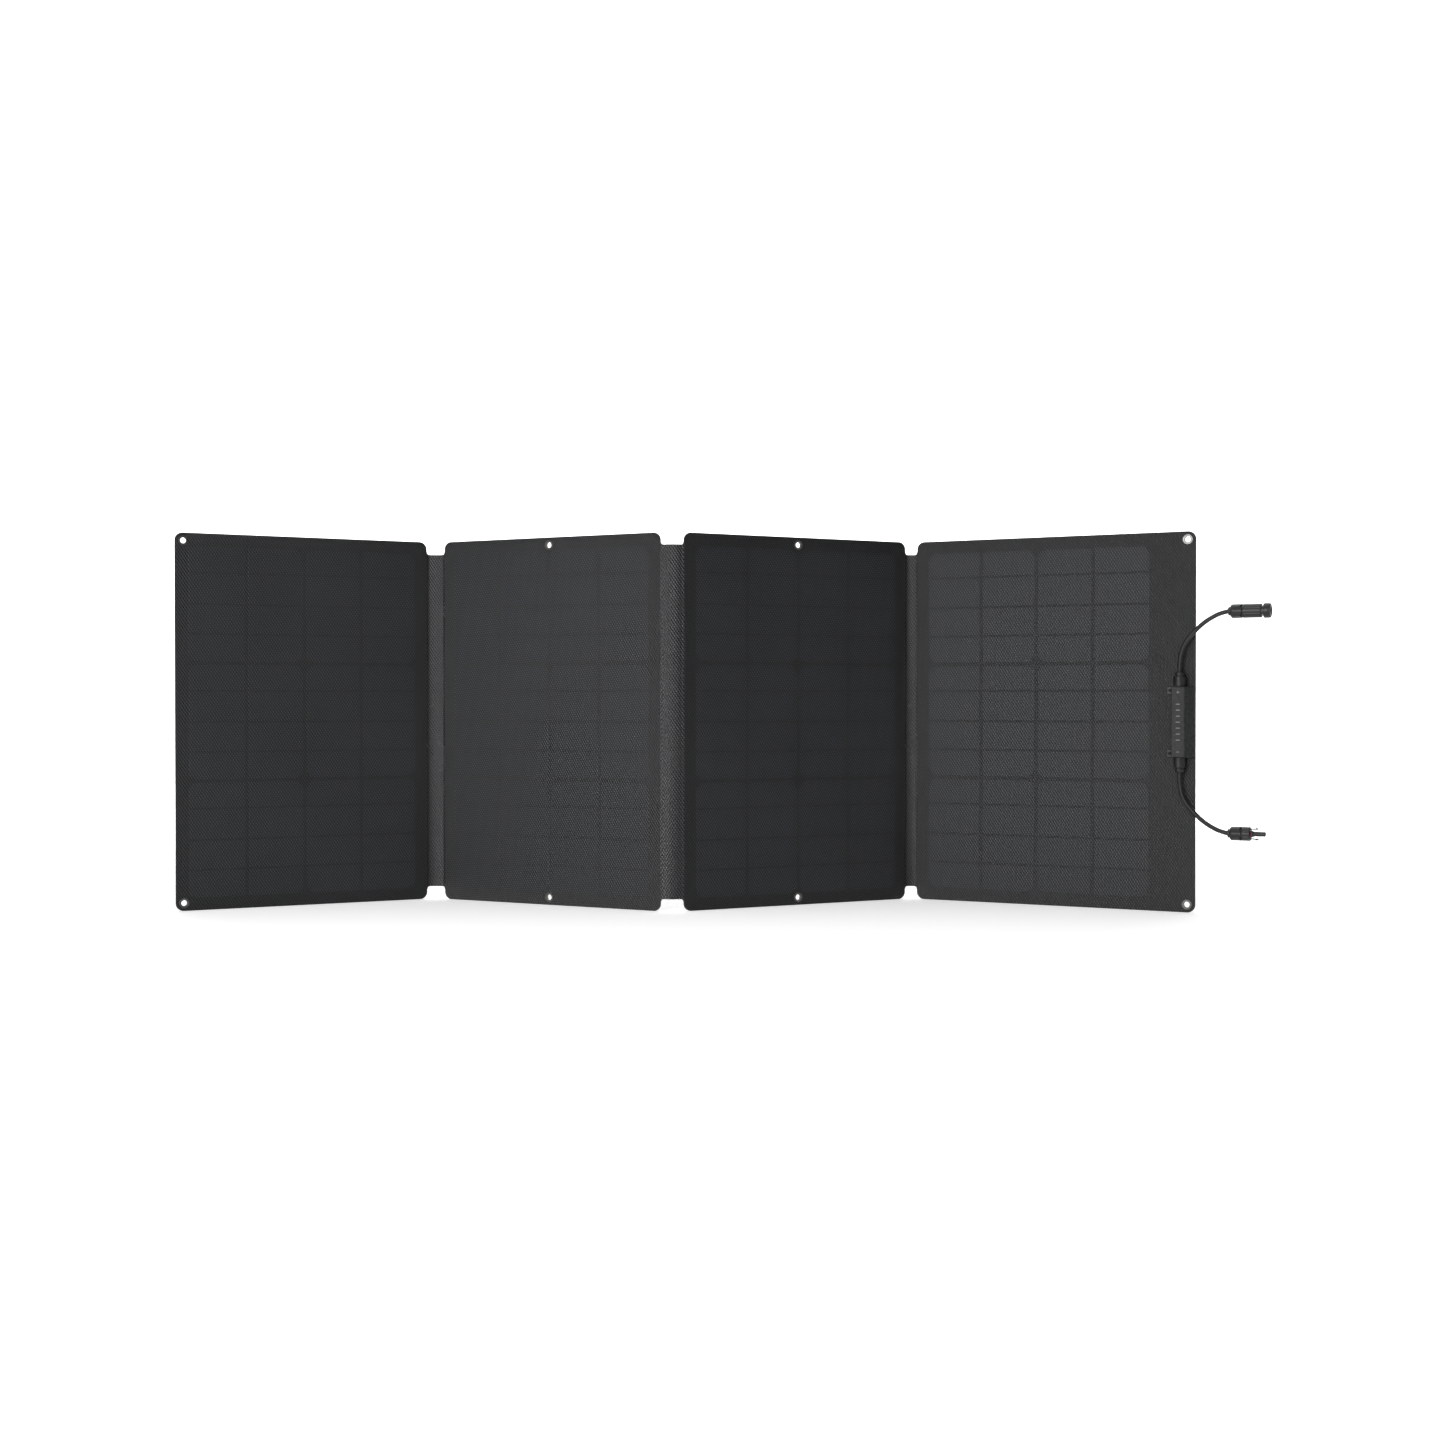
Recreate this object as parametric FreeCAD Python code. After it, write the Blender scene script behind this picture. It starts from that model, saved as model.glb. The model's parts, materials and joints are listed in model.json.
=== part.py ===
"""Folding solar sheet: four stiff panels joined by three soft hinges, standing in a zigzag.

Millimetres, +Z up. X runs along the sheet and -Y is the side that faces the sun. The origin is on the
floor, at the middle of the standing sheet without its two leads.

Each panel is drawn flat in a frame of its own (x along the panel from its left edge, y into the
back of the laminate, z up) and is then turned into its place in the zigzag.
"""
import FreeCAD
import Part
import math
import os

# --- the sheet -----------------------------------------------------------------------------
PANELS = 4
SHEET_HEIGHT = 512.0
CORNER_RADIUS = 10.5
STANCE = 26.86              # degrees between each panel and the line of the sheet
SIDE_MARGIN = 18.0          # from a panel's side edge to its cells
TERMINAL_MARGIN = 62.4      # the last panel's right margin, which carries the junction box

# --- cells: wafers cut into strips -----------------------------------------------------------
WAFER = 156.0
WAFER_CORNER_RADIUS = 12.0
WAFER_CORNER_SHARE = 0.9    # most of a strip's height that the corner may take up
WAFER_COLUMNS = 2
WAFER_ROWS = 3
WAFER_GAP = 4.4
STRIP_GAP = 2.2
STRIP_CUTS = (35.4, 78.0, 118.6)    # middles of the cuts across a wafer, from its top

# --- laminate, from the front to the back ----------------------------------------------------
FILM = 0.5
FRONT_ENCAPSULANT = 0.6
REAR_ENCAPSULANT = 0.3
BOARD = 1.0
FABRIC = 0.6
CELL_THICKNESS = 0.2
RIBBON_THICKNESS = 0.1
RIM = 2.0                   # width of the welded rim, where the film comes down to the fabric

# --- soft hinges -----------------------------------------------------------------------------
HINGE_WIDTHS = (27.5, 32.7, 18.1)   # flat, from panel edge to panel edge
HINGE_SETBACKS = (18.0, 16.5, 18.0) # how far a hinge stops below the top and above the bottom
HINGE_FILM = 0.35
HINGE_FABRIC = 1.15
CLOSED_GAP = 1.5                    # between two panels folded together

# --- wiring inside the laminate --------------------------------------------------------------
TAB_WIDTH = 60.0
TAB_HEIGHT = 7.0
BUS_INSET = 18.0
BUS_HEIGHT = 5.0
LEAD_HEIGHT = 8.0
LEAD_INSET = 36.0           # from the top or bottom edge to the middle of a crossing ribbon
RETURN_RIBBON_WIDTH = 4.0

# --- eyelets ---------------------------------------------------------------------------------
EYELET_BORE = 3.9           # radius
EYELET_WALL = 0.45
EYELET_FLANGE = 6.75        # radius
EYELET_PROUD = 0.6
EYELET_CLEARANCE = 0.05
EYELET_SIDE_INSET = 11.0
EYELET_END_INSET = 10.8

# --- junction box, measured in from the last panel's right edge ------------------------------
BOX_LENGTH = 95.0
BOX_LEFT = 29.2
BOX_FACE_RIGHT = 10.8
BOX_RIGHT = 0.6
BOX_HEIGHT = 16.0           # above the film
BOX_WALL = 1.8
BOX_EDGE_RADIUS = 0.9
BASE_FLOOR = 2.0
BASE_RIM_TOP = 3.0
GASKET = 0.5
GASKET_INSET = 0.3
ADHESIVE = 0.4
EAR_OUT = 9.0
EAR_HEIGHT = 10.0
EAR_THICKNESS = 1.6
EAR_RADIUS = 3.5
RISER_WIDTH = 4.0
RISER_THICKNESS = 0.6
RISER_OUT = 12.0            # from the box's middle to the ribbon that rises into it
TERMINAL_WIDTH = 10.0
TERMINAL_THICKNESS = 1.2
DIODE_RADIUS = 2.65
DIODE_LENGTH = 9.5
DIODE_WIRE_RADIUS = 0.6
DIODE_WIRE_REACH = 9.0
DIODE_GAP = 1.0             # between the diode and a terminal
LEAD_SEAT = 3.6             # how far a lead's end lies on its terminal

# --- glands and leads ------------------------------------------------------------------------
LEAD_RADIUS = 3.0
LEAD_IN = 19.3              # lead's axis, in from the panel's right edge
LEAD_PROUD = 9.0            # lead's axis above the film
LEAD_CLEARANCE = 0.05
LEAD_INNER_END = 18.0
GLAND_RADIUS = 7.8
GLAND_LENGTH = 13.9
GLAND_NECK_RADIUS = 4.9
GLAND_NECK_LENGTH = 3.6
SEAL_RADIUS = 4.6
SEAL_LENGTH = 8.0
CAP_RADIUS = 6.0
CAP_LENGTH = 6.6
CAP_ROUND = 2.6
FIT_CLEARANCE = 0.05

LEAD_BEND_SHARE = 0.45      # share of the shorter run that an arc takes up

# A lead's route: (out from the panel's right edge, up from the middle of the box).
LEAD_ROUTE = ((-19.3, 68.0), (-19.3, 85.0), (-13.5, 104.5), (-2.0, 121.4),
              (11.1, 134.9), (25.0, 144.1), (35.6, 147.0), (44.9, 147.0))

# --- plug and receptacle on the leads: (distance along the axis, radius) ---------------------
NUT_COLLAR = 2.8
NUT_COLLAR_RADIUS = 5.85
NUT_LENGTH = 15.8
NUT_RADIUS = 9.3
NUT_SHOULDER = 3.4          # radius of its rounded rear
NUT_THREAD_RADIUS = 7.0
NUT_WALL_BEHIND = 2.0
CONTACT_BARREL_RADIUS = 2.6
RECEPTACLE_BODY = 24.7
RECEPTACLE_BODY_RADIUS = 9.25
RECEPTACLE_WINDOW = 2.3     # length of the two windows that the plug's barbs catch in
RECEPTACLE_WEB = 4.65       # half the height of what is left between the windows
RECEPTACLE_MOUTH = 9.3
RECEPTACLE_MOUTH_RADIUS = 9.9
RECEPTACLE_BORE = 5.4
RECEPTACLE_BORE_DEPTH = 17.0
PIN_RADIUS = 1.6
PIN_INSET = 3.0             # from the mouth back to the pin's tip
PLUG_BODY = 11.2
PLUG_TUBE = 19.0            # how far the tube reaches past the body
PLUG_TUBE_RADIUS = 3.15
PLUG_TUBE_BORE = 2.25
PLUG_SEAT_RADIUS = 2.8      # what the O-ring sits on
PLUG_TAPER = 2.9            # length of the cone in front of the O-ring
PLUG_TAPER_RADIUS = 4.1
PLUG_BORE_FLOOR = 2.0       # from the body's front back to the wide part of its bore
SOCKET_INSET = 2.0          # from the tube's end back to the socket
O_RING_SECTION = 0.95       # radius
PRONG_LENGTH = 10.6
PRONG_WIDTH = 6.0
PRONG_OUT = 7.2             # from the plug's axis to a prong's outer face
PRONG_THICKNESS = 1.4
PRONG_BARB = 1.2
PRONG_BARB_LENGTH = 3.8

# --- moulded edges ---------------------------------------------------------------------------
EDGE_BREAK = 1.0            # small rounding of a moulded edge
ROUNDING_STEPS = 4

# --- worked out from the above ---------------------------------------------------------------
LAMINATE = FILM + FRONT_ENCAPSULANT + REAR_ENCAPSULANT + BOARD + FABRIC
FRONT = -LAMINATE / 2                               # y of the film's face
FILM_BACK = FRONT + FILM
CELL_BACK = FILM_BACK + FRONT_ENCAPSULANT
RIBBON_BACK = CELL_BACK + RIBBON_THICKNESS
BOARD_FRONT = CELL_BACK + REAR_ENCAPSULANT
FABRIC_FRONT = BOARD_FRONT + BOARD
BACK = LAMINATE / 2
CELL_BLOCK = WAFER_COLUMNS * WAFER + (WAFER_COLUMNS - 1) * WAFER_GAP
CELL_BLOCK_HEIGHT = WAFER_ROWS * WAFER + (WAFER_ROWS - 1) * WAFER_GAP
END_MARGIN = (SHEET_HEIGHT - CELL_BLOCK_HEIGHT) / 2
PANEL_WIDTHS = tuple(
    SIDE_MARGIN + CELL_BLOCK + (TERMINAL_MARGIN if i == PANELS - 1 else SIDE_MARGIN)
    for i in range(PANELS)
)
HINGE_OFFSET = (LAMINATE + CLOSED_GAP) / 2          # hinge axis to a panel's middle plane
LAST = PANELS - 1
EDGE = PANEL_WIDTHS[LAST]                           # x of the last panel's right edge
MIDDLE = SHEET_HEIGHT / 2
EYELET_OUTER = EYELET_BORE + EYELET_WALL
LAMINATE_HOLE = EYELET_OUTER + EYELET_CLEARANCE
COVER_BOTTOM = BASE_RIM_TOP + GASKET
LEAD_X = EDGE - LEAD_IN
LEAD_Y = FRONT - LEAD_PROUD
GLAND_END = BOX_LENGTH / 2 + GLAND_LENGTH + CAP_LENGTH      # from the box's middle
NUT_END = NUT_COLLAR + NUT_LENGTH

V = FreeCAD.Vector
X_AXIS, Y_AXIS, Z_AXIS = V(1, 0, 0), V(0, 1, 0), V(0, 0, 1)


# --- small shapes ----------------------------------------------------------------------------
def box(x0, x1, y0, y1, z0, z1):
    return Part.makeBox(x1 - x0, y1 - y0, z1 - z0, V(x0, y0, z0))


def rounded_outline(x0, x1, z0, z1, radius):
    """A rectangle with round corners, in the plane of a panel."""
    corners = ((x1, z0, -1, 1), (x1, z1, -1, -1), (x0, z1, 1, -1), (x0, z0, 1, 1))
    edges, ends = [], []
    for n, (x, z, sx, sz) in enumerate(corners):
        along_x = V(x + sx * radius, 0, z)
        along_z = V(x, 0, z + sz * radius)
        first, last = (along_x, along_z) if n % 2 == 0 else (along_z, along_x)
        bulge = radius * (1 - math.sqrt(0.5))
        edges.append(Part.Arc(first, V(x + sx * bulge, 0, z + sz * bulge), last).toShape())
        ends.append((first, last))
    sides = [Part.LineSegment(ends[n - 1][1], ends[n][0]).toShape() for n in range(4)]
    return Part.Wire([e for pair in zip(sides, edges) for e in pair])


def plate(outline, y0, y1, holes=()):
    """The outline, with round holes through it, from depth y0 to depth y1."""
    rings = [Part.Wire(Part.makeCircle(r, V(x, 0, z), Y_AXIS)) for x, z, r in holes]
    face = Part.makeFace([outline] + rings, "Part::FaceMakerBullseye")
    face.translate(V(0, y0, 0))
    return face.extrude(V(0, y1 - y0, 0))


def turned(profile, origin, axis):
    """A closed profile of (distance along the axis, radius), turned about that axis."""
    side = Y_AXIS
    points = [origin + axis * along + side * radius for along, radius in profile]
    wire = Part.makePolygon(points + points[:1])
    return Part.Face(wire).revolve(origin, axis, 360)


def rounding(end, outer, radius, forwards=True):
    """Points of a round edge on a turned profile, which stands at (end, outer)."""
    points = []
    for n in range(ROUNDING_STEPS + 1):
        turn = math.radians(90 * n / ROUNDING_STEPS)
        along = radius * (1 - math.sin(turn))
        points.append((end - along if forwards else end + along,
                       outer - radius * (1 - math.cos(turn))))
    return points if forwards else points[::-1]


def cut_all(shape, tools):
    return shape.cut(Part.makeCompound(tools)) if tools else shape


def group(solids):
    return Part.makeCompound(list(solids))


# --- cells and their wiring ------------------------------------------------------------------
def wafer_centres():
    """(column, row, x, z) of each wafer in a panel, rows counted from the top."""
    for column in range(WAFER_COLUMNS):
        x = SIDE_MARGIN + WAFER / 2 + column * (WAFER + WAFER_GAP)
        for row in range(WAFER_ROWS):
            z = SHEET_HEIGHT - END_MARGIN - WAFER / 2 - row * (WAFER + WAFER_GAP)
            yield column, row, x, z


def strip_bands():
    """(bottom, top) of each strip cut from a wafer, from the wafer's middle, top strip first."""
    tops = [WAFER / 2] + [WAFER / 2 - cut - STRIP_GAP / 2 for cut in STRIP_CUTS]
    bottoms = [WAFER / 2 - cut + STRIP_GAP / 2 for cut in STRIP_CUTS] + [-WAFER / 2]
    return list(zip(bottoms, tops))


def strip_outline(x, z, side, bottom, top):
    """Half of a wafer's band, with the wafer's round corner where the band has one."""
    half = WAFER / 2
    radius = min(WAFER_CORNER_RADIUS, WAFER_CORNER_SHARE * (top - bottom))
    bulge = radius * (1 - math.sqrt(0.5))
    inner, outer = x + side * WAFER_GAP / 2, x + side * half
    cut_top, cut_bottom = top == half, bottom == -half
    points = [V(inner, 0, z + bottom)]
    edges = []

    def line_to(px, pz):
        edges.append(Part.LineSegment(points[-1], V(px, 0, pz)).toShape())
        points.append(V(px, 0, pz))

    def corner_to(px, pz, up):
        middle = V(outer - side * bulge, 0, z + up * (half - bulge))
        edges.append(Part.Arc(points[-1], middle, V(px, 0, pz)).toShape())
        points.append(V(px, 0, pz))

    if cut_bottom:
        line_to(outer - side * radius, z + bottom)
        corner_to(outer, z + bottom + radius, -1)
    else:
        line_to(outer, z + bottom)
    if cut_top:
        line_to(outer, z + top - radius)
        corner_to(outer - side * radius, z + top, 1)
    else:
        line_to(outer, z + top)
    line_to(inner, z + top)
    line_to(inner, z + bottom)
    return Part.Wire(edges)


def cell_strips():
    return [
        plate(strip_outline(x, z, side, bottom, top), CELL_BACK - CELL_THICKNESS, CELL_BACK)
        for _, _, x, z in wafer_centres()
        for side in (-1, 1)
        for bottom, top in strip_bands()
    ]


def string_columns():
    """x of the middle of each string of cell strips, from left to right."""
    half_strip = (WAFER - WAFER_GAP) / 4
    centres = sorted({x for _, _, x, _ in wafer_centres()})
    return [x + side * (WAFER_GAP / 2 + half_strip) for x in centres for side in (-1, 1)]


def ribbon(x0, x1, z0, z1):
    return box(x0, x1, CELL_BACK, RIBBON_BACK, z0, z1)


def string_tabs():
    """The tabs that join each strip to the next one in its string."""
    joints = []
    for _, row, _, z in list(wafer_centres())[:WAFER_ROWS]:
        joints += [z + WAFER / 2 - cut for cut in STRIP_CUTS]
        if row < WAFER_ROWS - 1:
            joints.append(z - (WAFER + WAFER_GAP) / 2)
    return [
        ribbon(x - TAB_WIDTH / 2, x + TAB_WIDTH / 2, z - TAB_HEIGHT / 2, z + TAB_HEIGHT / 2)
        for x in string_columns()
        for z in joints
    ]


def string_buses():
    """The strings run in series, so neighbours are joined at the bottom and at the top in turn."""
    columns = string_columns()
    buses = []
    for n in range(len(columns) - 1):
        z = BUS_INSET if n % 2 == 0 else SHEET_HEIGHT - BUS_INSET - BUS_HEIGHT
        reach = TAB_WIDTH / 4
        buses.append(ribbon(columns[n] - reach, columns[n + 1] + reach, z, z + BUS_HEIGHT))
    return buses


def crossing(x0, x1, z):
    return ribbon(x0, x1, z - LEAD_HEIGHT / 2, z + LEAD_HEIGHT / 2)


def string_leads(index):
    """Ribbons to the next panels: the string's own at the top, and the return at the bottom."""
    columns, width = string_columns(), PANEL_WIDTHS[index]
    high, low = SHEET_HEIGHT - LEAD_INSET, LEAD_INSET
    down = RETURN_RIBBON_WIDTH
    if index == 0:
        turn = SIDE_MARGIN - 2 * down
        string_start = crossing(turn, columns[0], high)
        back = ribbon(turn, turn + down, low - LEAD_HEIGHT / 2, high + LEAD_HEIGHT / 2)
        start = string_start.fuse(back).fuse(crossing(turn, width, low)).removeSplitter()
    else:
        start = crossing(0, columns[0], high)
    if index < LAST:
        end = crossing(columns[-1], width, high)
        return [start, end] if index == 0 else [start, end, crossing(0, width, low)]
    turn = SIDE_MARGIN + CELL_BLOCK + 2 * down
    plus, minus = box_risers()
    upper = crossing(columns[-1], turn + down, high)
    upper = upper.fuse(ribbon(turn, turn + down, MIDDLE + RISER_OUT - down / 2, high))
    upper = upper.fuse(ribbon(turn, LEAD_X + RISER_WIDTH / 2, MIDDLE + RISER_OUT - down / 2,
                              MIDDLE + RISER_OUT + down / 2)).fuse(plus)
    lower = crossing(0, turn + down, low)
    lower = lower.fuse(ribbon(turn, turn + down, low, MIDDLE - RISER_OUT + down / 2))
    lower = lower.fuse(ribbon(turn, LEAD_X + RISER_WIDTH / 2, MIDDLE - RISER_OUT - down / 2,
                              MIDDLE - RISER_OUT + down / 2)).fuse(minus)
    return [start, upper.removeSplitter(), lower.removeSplitter()]


def box_risers():
    """The ends of the two ribbons that come up through the film into the junction box."""
    return [
        box(LEAD_X - RISER_WIDTH / 2, LEAD_X + RISER_WIDTH / 2,
            FRONT - ADHESIVE - BASE_FLOOR, RIBBON_BACK,
            z - RISER_THICKNESS / 2, z + RISER_THICKNESS / 2)
        for z in (MIDDLE + RISER_OUT, MIDDLE - RISER_OUT)
    ]


# --- laminate --------------------------------------------------------------------------------
def eyelet_places(index):
    """(x, z) of a panel's eyelets: outer corners on the end panels, middles on the others."""
    if index == 0:
        x = EYELET_SIDE_INSET
    elif index == LAST:
        x = PANEL_WIDTHS[index] - EYELET_SIDE_INSET
    else:
        x = PANEL_WIDTHS[index] / 2
    return [(x, EYELET_END_INSET), (x, SHEET_HEIGHT - EYELET_END_INSET)]


def panel_outline(index, inset=0.0):
    return rounded_outline(inset, PANEL_WIDTHS[index] - inset, inset, SHEET_HEIGHT - inset,
                           CORNER_RADIUS - inset)


def laminate_pieces(index):
    """Every layer of one panel, by name."""
    holes = [(x, z, LAMINATE_HOLE) for x, z in eyelet_places(index)]
    outline, inside = panel_outline(index), panel_outline(index, RIM)
    cells = cell_strips()
    leads = string_leads(index)
    ribbons = string_tabs() + string_buses() + leads
    pillars = [
        Part.makeCylinder(radius + RIM, LAMINATE, V(x, FRONT, z), Y_AXIS)
        for x, z, radius in holes
    ]

    def inner_layer(y0, y1):
        """A layer that stops at the film's rim and at the pillars of film round the eyelets."""
        return cut_all(plate(inside, y0, y1), pillars)

    film = plate(outline, FRONT, FABRIC_FRONT, holes).cut(inner_layer(FILM_BACK, FABRIC_FRONT))
    front = inner_layer(FILM_BACK, CELL_BACK)
    rear = inner_layer(CELL_BACK, BOARD_FRONT)
    risers = box_risers() if index == LAST else []
    return {
        "front_film": cut_all(film, leads),
        "encapsulant": group([cut_all(front, cells + risers), cut_all(rear, ribbons)]),
        "cells": group(cells),
        "interconnects": group(ribbons),
        "backing_board": inner_layer(BOARD_FRONT, FABRIC_FRONT),
        "rear_fabric": plate(outline, FABRIC_FRONT, BACK, holes),
    }


def eyelet(x, z):
    """A barrel through the sheet with a rounded flange on the front."""
    top, edge = -EYELET_PROUD, EYELET_PROUD * 0.5
    profile = ((0, EYELET_OUTER), (0, EYELET_FLANGE), (top + edge, EYELET_FLANGE),
               (top, EYELET_FLANGE - 2 * edge), (top, EYELET_BORE + edge),
               (top + edge, EYELET_BORE), (LAMINATE + EYELET_PROUD, EYELET_BORE),
               (LAMINATE + EYELET_PROUD, EYELET_OUTER))
    origin = V(x, FRONT, z)
    points = [origin + V(0, along, 0) + X_AXIS * radius for along, radius in profile]
    return Part.Face(Part.makePolygon(points + points[:1])).revolve(origin, Y_AXIS, 360)


def eyelet_washer(x, z):
    ring = Part.makeCylinder(EYELET_FLANGE, EYELET_PROUD, V(x, BACK, z), Y_AXIS)
    return ring.cut(Part.makeCylinder(LAMINATE_HOLE, EYELET_PROUD, V(x, BACK, z), Y_AXIS))


# --- hinges, drawn in the frame of the panel on their left -----------------------------------
def arc_strip(width, side, front, back, z0, z1):
    """A strip bent from this panel's edge to the next one's, between two depths."""
    radius = bend_radius(width)
    centre = V(0, -side * radius, 0)
    turn = -side * 2 * STANCE

    def edge_at(depth):
        start = V(0, depth, 0)
        half = FreeCAD.Rotation(Z_AXIS, turn / 2).multVec(start - centre) + centre
        end = FreeCAD.Rotation(Z_AXIS, turn).multVec(start - centre) + centre
        return Part.Arc(start, half, end).toShape()

    near, far = edge_at(front), edge_at(back)
    caps = [Part.LineSegment(near.Vertexes[n].Point, far.Vertexes[n].Point).toShape()
            for n in (0, 1)]
    face = Part.Face(Part.Wire(Part.__sortEdges__([near, far] + caps)))
    face.translate(V(0, 0, z0))
    return face.extrude(V(0, 0, z1 - z0))


def bend_radius(width):
    """Radius of a hinge's middle at the stance, from the chord between the two panel edges."""
    lean = math.radians(STANCE)
    chord = width * math.cos(lean) + 2 * HINGE_OFFSET * math.sin(lean)
    return chord / (2 * math.sin(lean))


def hinge_side(index):
    """+1 where the hinge's panels close front to front, -1 where they close back to back."""
    return 1 if index % 2 == 0 else -1


def hinge_pieces(index):
    width, side = HINGE_WIDTHS[index], hinge_side(index)
    parting = CELL_BACK         # the conductors lie between the strip's film and its fabric
    z0, z1 = HINGE_SETBACKS[index], SHEET_HEIGHT - HINGE_SETBACKS[index]
    conductors = [
        arc_strip(width, side, CELL_BACK, RIBBON_BACK, z - LEAD_HEIGHT / 2, z + LEAD_HEIGHT / 2)
        for z in (LEAD_INSET, SHEET_HEIGHT - LEAD_INSET)
    ]
    shapes = {
        "film": arc_strip(width, side, parting - HINGE_FILM, parting, z0, z1),
        "fabric": cut_all(arc_strip(width, side, parting, parting + HINGE_FABRIC, z0, z1),
                          conductors),
        "conductors": group(conductors),
    }
    for shape in shapes.values():
        shape.translate(V(PANEL_WIDTHS[index], 0, 0))
    return shapes


# --- junction box ----------------------------------------------------------------------------
def proud(height):
    """y of a point this far in front of the last panel's film."""
    return FRONT - height


def box_prism(left, right_low, right_high, low, high, length):
    """A prism along Z with a straight left side and a right side that slopes inwards."""
    points = [V(EDGE - left, proud(low), 0), V(EDGE - left, proud(high), 0),
              V(EDGE - right_high, proud(high), 0), V(EDGE - right_low, proud(low), 0)]
    face = Part.Face(Part.makePolygon(points + points[:1]))
    face.translate(V(0, 0, MIDDLE - length / 2))
    return face.extrude(V(0, 0, length))


def box_slope():
    return (BOX_FACE_RIGHT - BOX_RIGHT) / (BOX_HEIGHT - COVER_BOTTOM)


def cover():
    outer = box_prism(BOX_LEFT, BOX_RIGHT, BOX_FACE_RIGHT, COVER_BOTTOM, BOX_HEIGHT, BOX_LENGTH)
    parting = proud(COVER_BOTTOM)
    upper = [e for e in outer.Edges if e.BoundBox.YMin < parting - 1e-3]
    outer = outer.makeFillet(BOX_EDGE_RADIUS, upper)
    thick = BOX_WALL * math.hypot(1, box_slope())
    top = BOX_HEIGHT - BOX_WALL
    low_right = BOX_RIGHT + thick
    high_right = BOX_RIGHT + thick + box_slope() * (top - COVER_BOTTOM)
    inner = box_prism(BOX_LEFT - BOX_WALL, low_right, high_right, COVER_BOTTOM, top,
                      BOX_LENGTH - 2 * BOX_WALL)
    holes = Part.makeCylinder(GLAND_NECK_RADIUS + FIT_CLEARANCE, BOX_LENGTH,
                              V(LEAD_X, LEAD_Y, MIDDLE - BOX_LENGTH / 2), Z_AXIS)
    return outer.cut(inner).cut(holes)


def ear(end):
    """A foot at one of the box's left corners; end is +1 at the top and -1 at the bottom."""
    outer_z = MIDDLE + end * BOX_LENGTH / 2
    inner_z = outer_z - end * EAR_HEIGHT
    outline = rounded_outline(EDGE - BOX_LEFT - EAR_OUT, EDGE - BOX_LEFT + 2 * EAR_RADIUS,
                              min(inner_z, outer_z), max(inner_z, outer_z), EAR_RADIUS)
    return plate(outline, proud(ADHESIVE + EAR_THICKNESS), proud(ADHESIVE))


def base():
    low, high = BOX_LENGTH / 2, BOX_LENGTH / 2 - BOX_WALL
    block = box(EDGE - BOX_LEFT, EDGE - BOX_RIGHT, proud(BASE_RIM_TOP), proud(ADHESIVE),
                MIDDLE - low, MIDDLE + low)
    tray = box(EDGE - BOX_LEFT + BOX_WALL, EDGE - BOX_RIGHT - BOX_WALL, proud(BASE_RIM_TOP),
               proud(ADHESIVE + BASE_FLOOR), MIDDLE - high, MIDDLE + high)
    for end in (1, -1):
        block = block.fuse(ear(end))
    return cut_all(block.removeSplitter().cut(tray), box_risers())


def gasket():
    inset, wall = GASKET_INSET, BOX_WALL
    low = BOX_LENGTH / 2
    outer = box(EDGE - BOX_LEFT + inset, EDGE - BOX_RIGHT - inset, proud(COVER_BOTTOM),
                proud(BASE_RIM_TOP), MIDDLE - low + inset, MIDDLE + low - inset)
    inner = box(EDGE - BOX_LEFT + wall, EDGE - BOX_RIGHT - wall, proud(COVER_BOTTOM),
                proud(BASE_RIM_TOP), MIDDLE - low + wall, MIDDLE + low - wall)
    return outer.cut(inner)


def adhesive_pad():
    low = BOX_LENGTH / 2
    pad = box(EDGE - BOX_LEFT, EDGE - BOX_RIGHT, proud(ADHESIVE), FRONT,
              MIDDLE - low, MIDDLE + low)
    return cut_all(pad, box_risers())


def terminals():
    """Two brass terminals: each joins a rising ribbon, the diode's wire and a lead's end."""
    floor = proud(ADHESIVE + BASE_FLOOR)
    top = floor - TERMINAL_THICKNESS
    half = TERMINAL_WIDTH / 2
    diode_y = top - DIODE_RADIUS
    solids = []
    for end in (1, -1):
        def span(near, far):
            return sorted((MIDDLE + end * near, MIDDLE + end * far))

        near, far = DIODE_LENGTH / 2 + DIODE_GAP, LEAD_INNER_END + LEAD_SEAT
        strip = box(LEAD_X - half, LEAD_X + half, top, floor, *span(near, far))
        diode_post = box(LEAD_X - half / 2, LEAD_X + half / 2, diode_y + DIODE_WIRE_RADIUS, top,
                         *span(near, DIODE_WIRE_REACH))
        lead_post = box(LEAD_X - half / 2, LEAD_X + half / 2, LEAD_Y + LEAD_RADIUS, top,
                        *span(LEAD_INNER_END, far))
        solids.append(strip.fuse(diode_post).fuse(lead_post).removeSplitter())
    return group(solids)


def diode():
    y = proud(ADHESIVE + BASE_FLOOR + TERMINAL_THICKNESS + DIODE_RADIUS)
    body = Part.makeCylinder(DIODE_RADIUS, DIODE_LENGTH,
                             V(LEAD_X, y, MIDDLE - DIODE_LENGTH / 2), Z_AXIS)
    wire = Part.makeCylinder(DIODE_WIRE_RADIUS, 2 * DIODE_WIRE_REACH,
                             V(LEAD_X, y, MIDDLE - DIODE_WIRE_REACH), Z_AXIS)
    return body.fuse(wire).removeSplitter()


# --- glands ----------------------------------------------------------------------------------
def both_ends(solid):
    """The upper piece and its mirror image at the bottom of the box."""
    return group([solid, solid.mirror(V(0, 0, MIDDLE), Z_AXIS)])


def gland_axis_point(out):
    return V(LEAD_X, LEAD_Y, MIDDLE + out)


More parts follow.
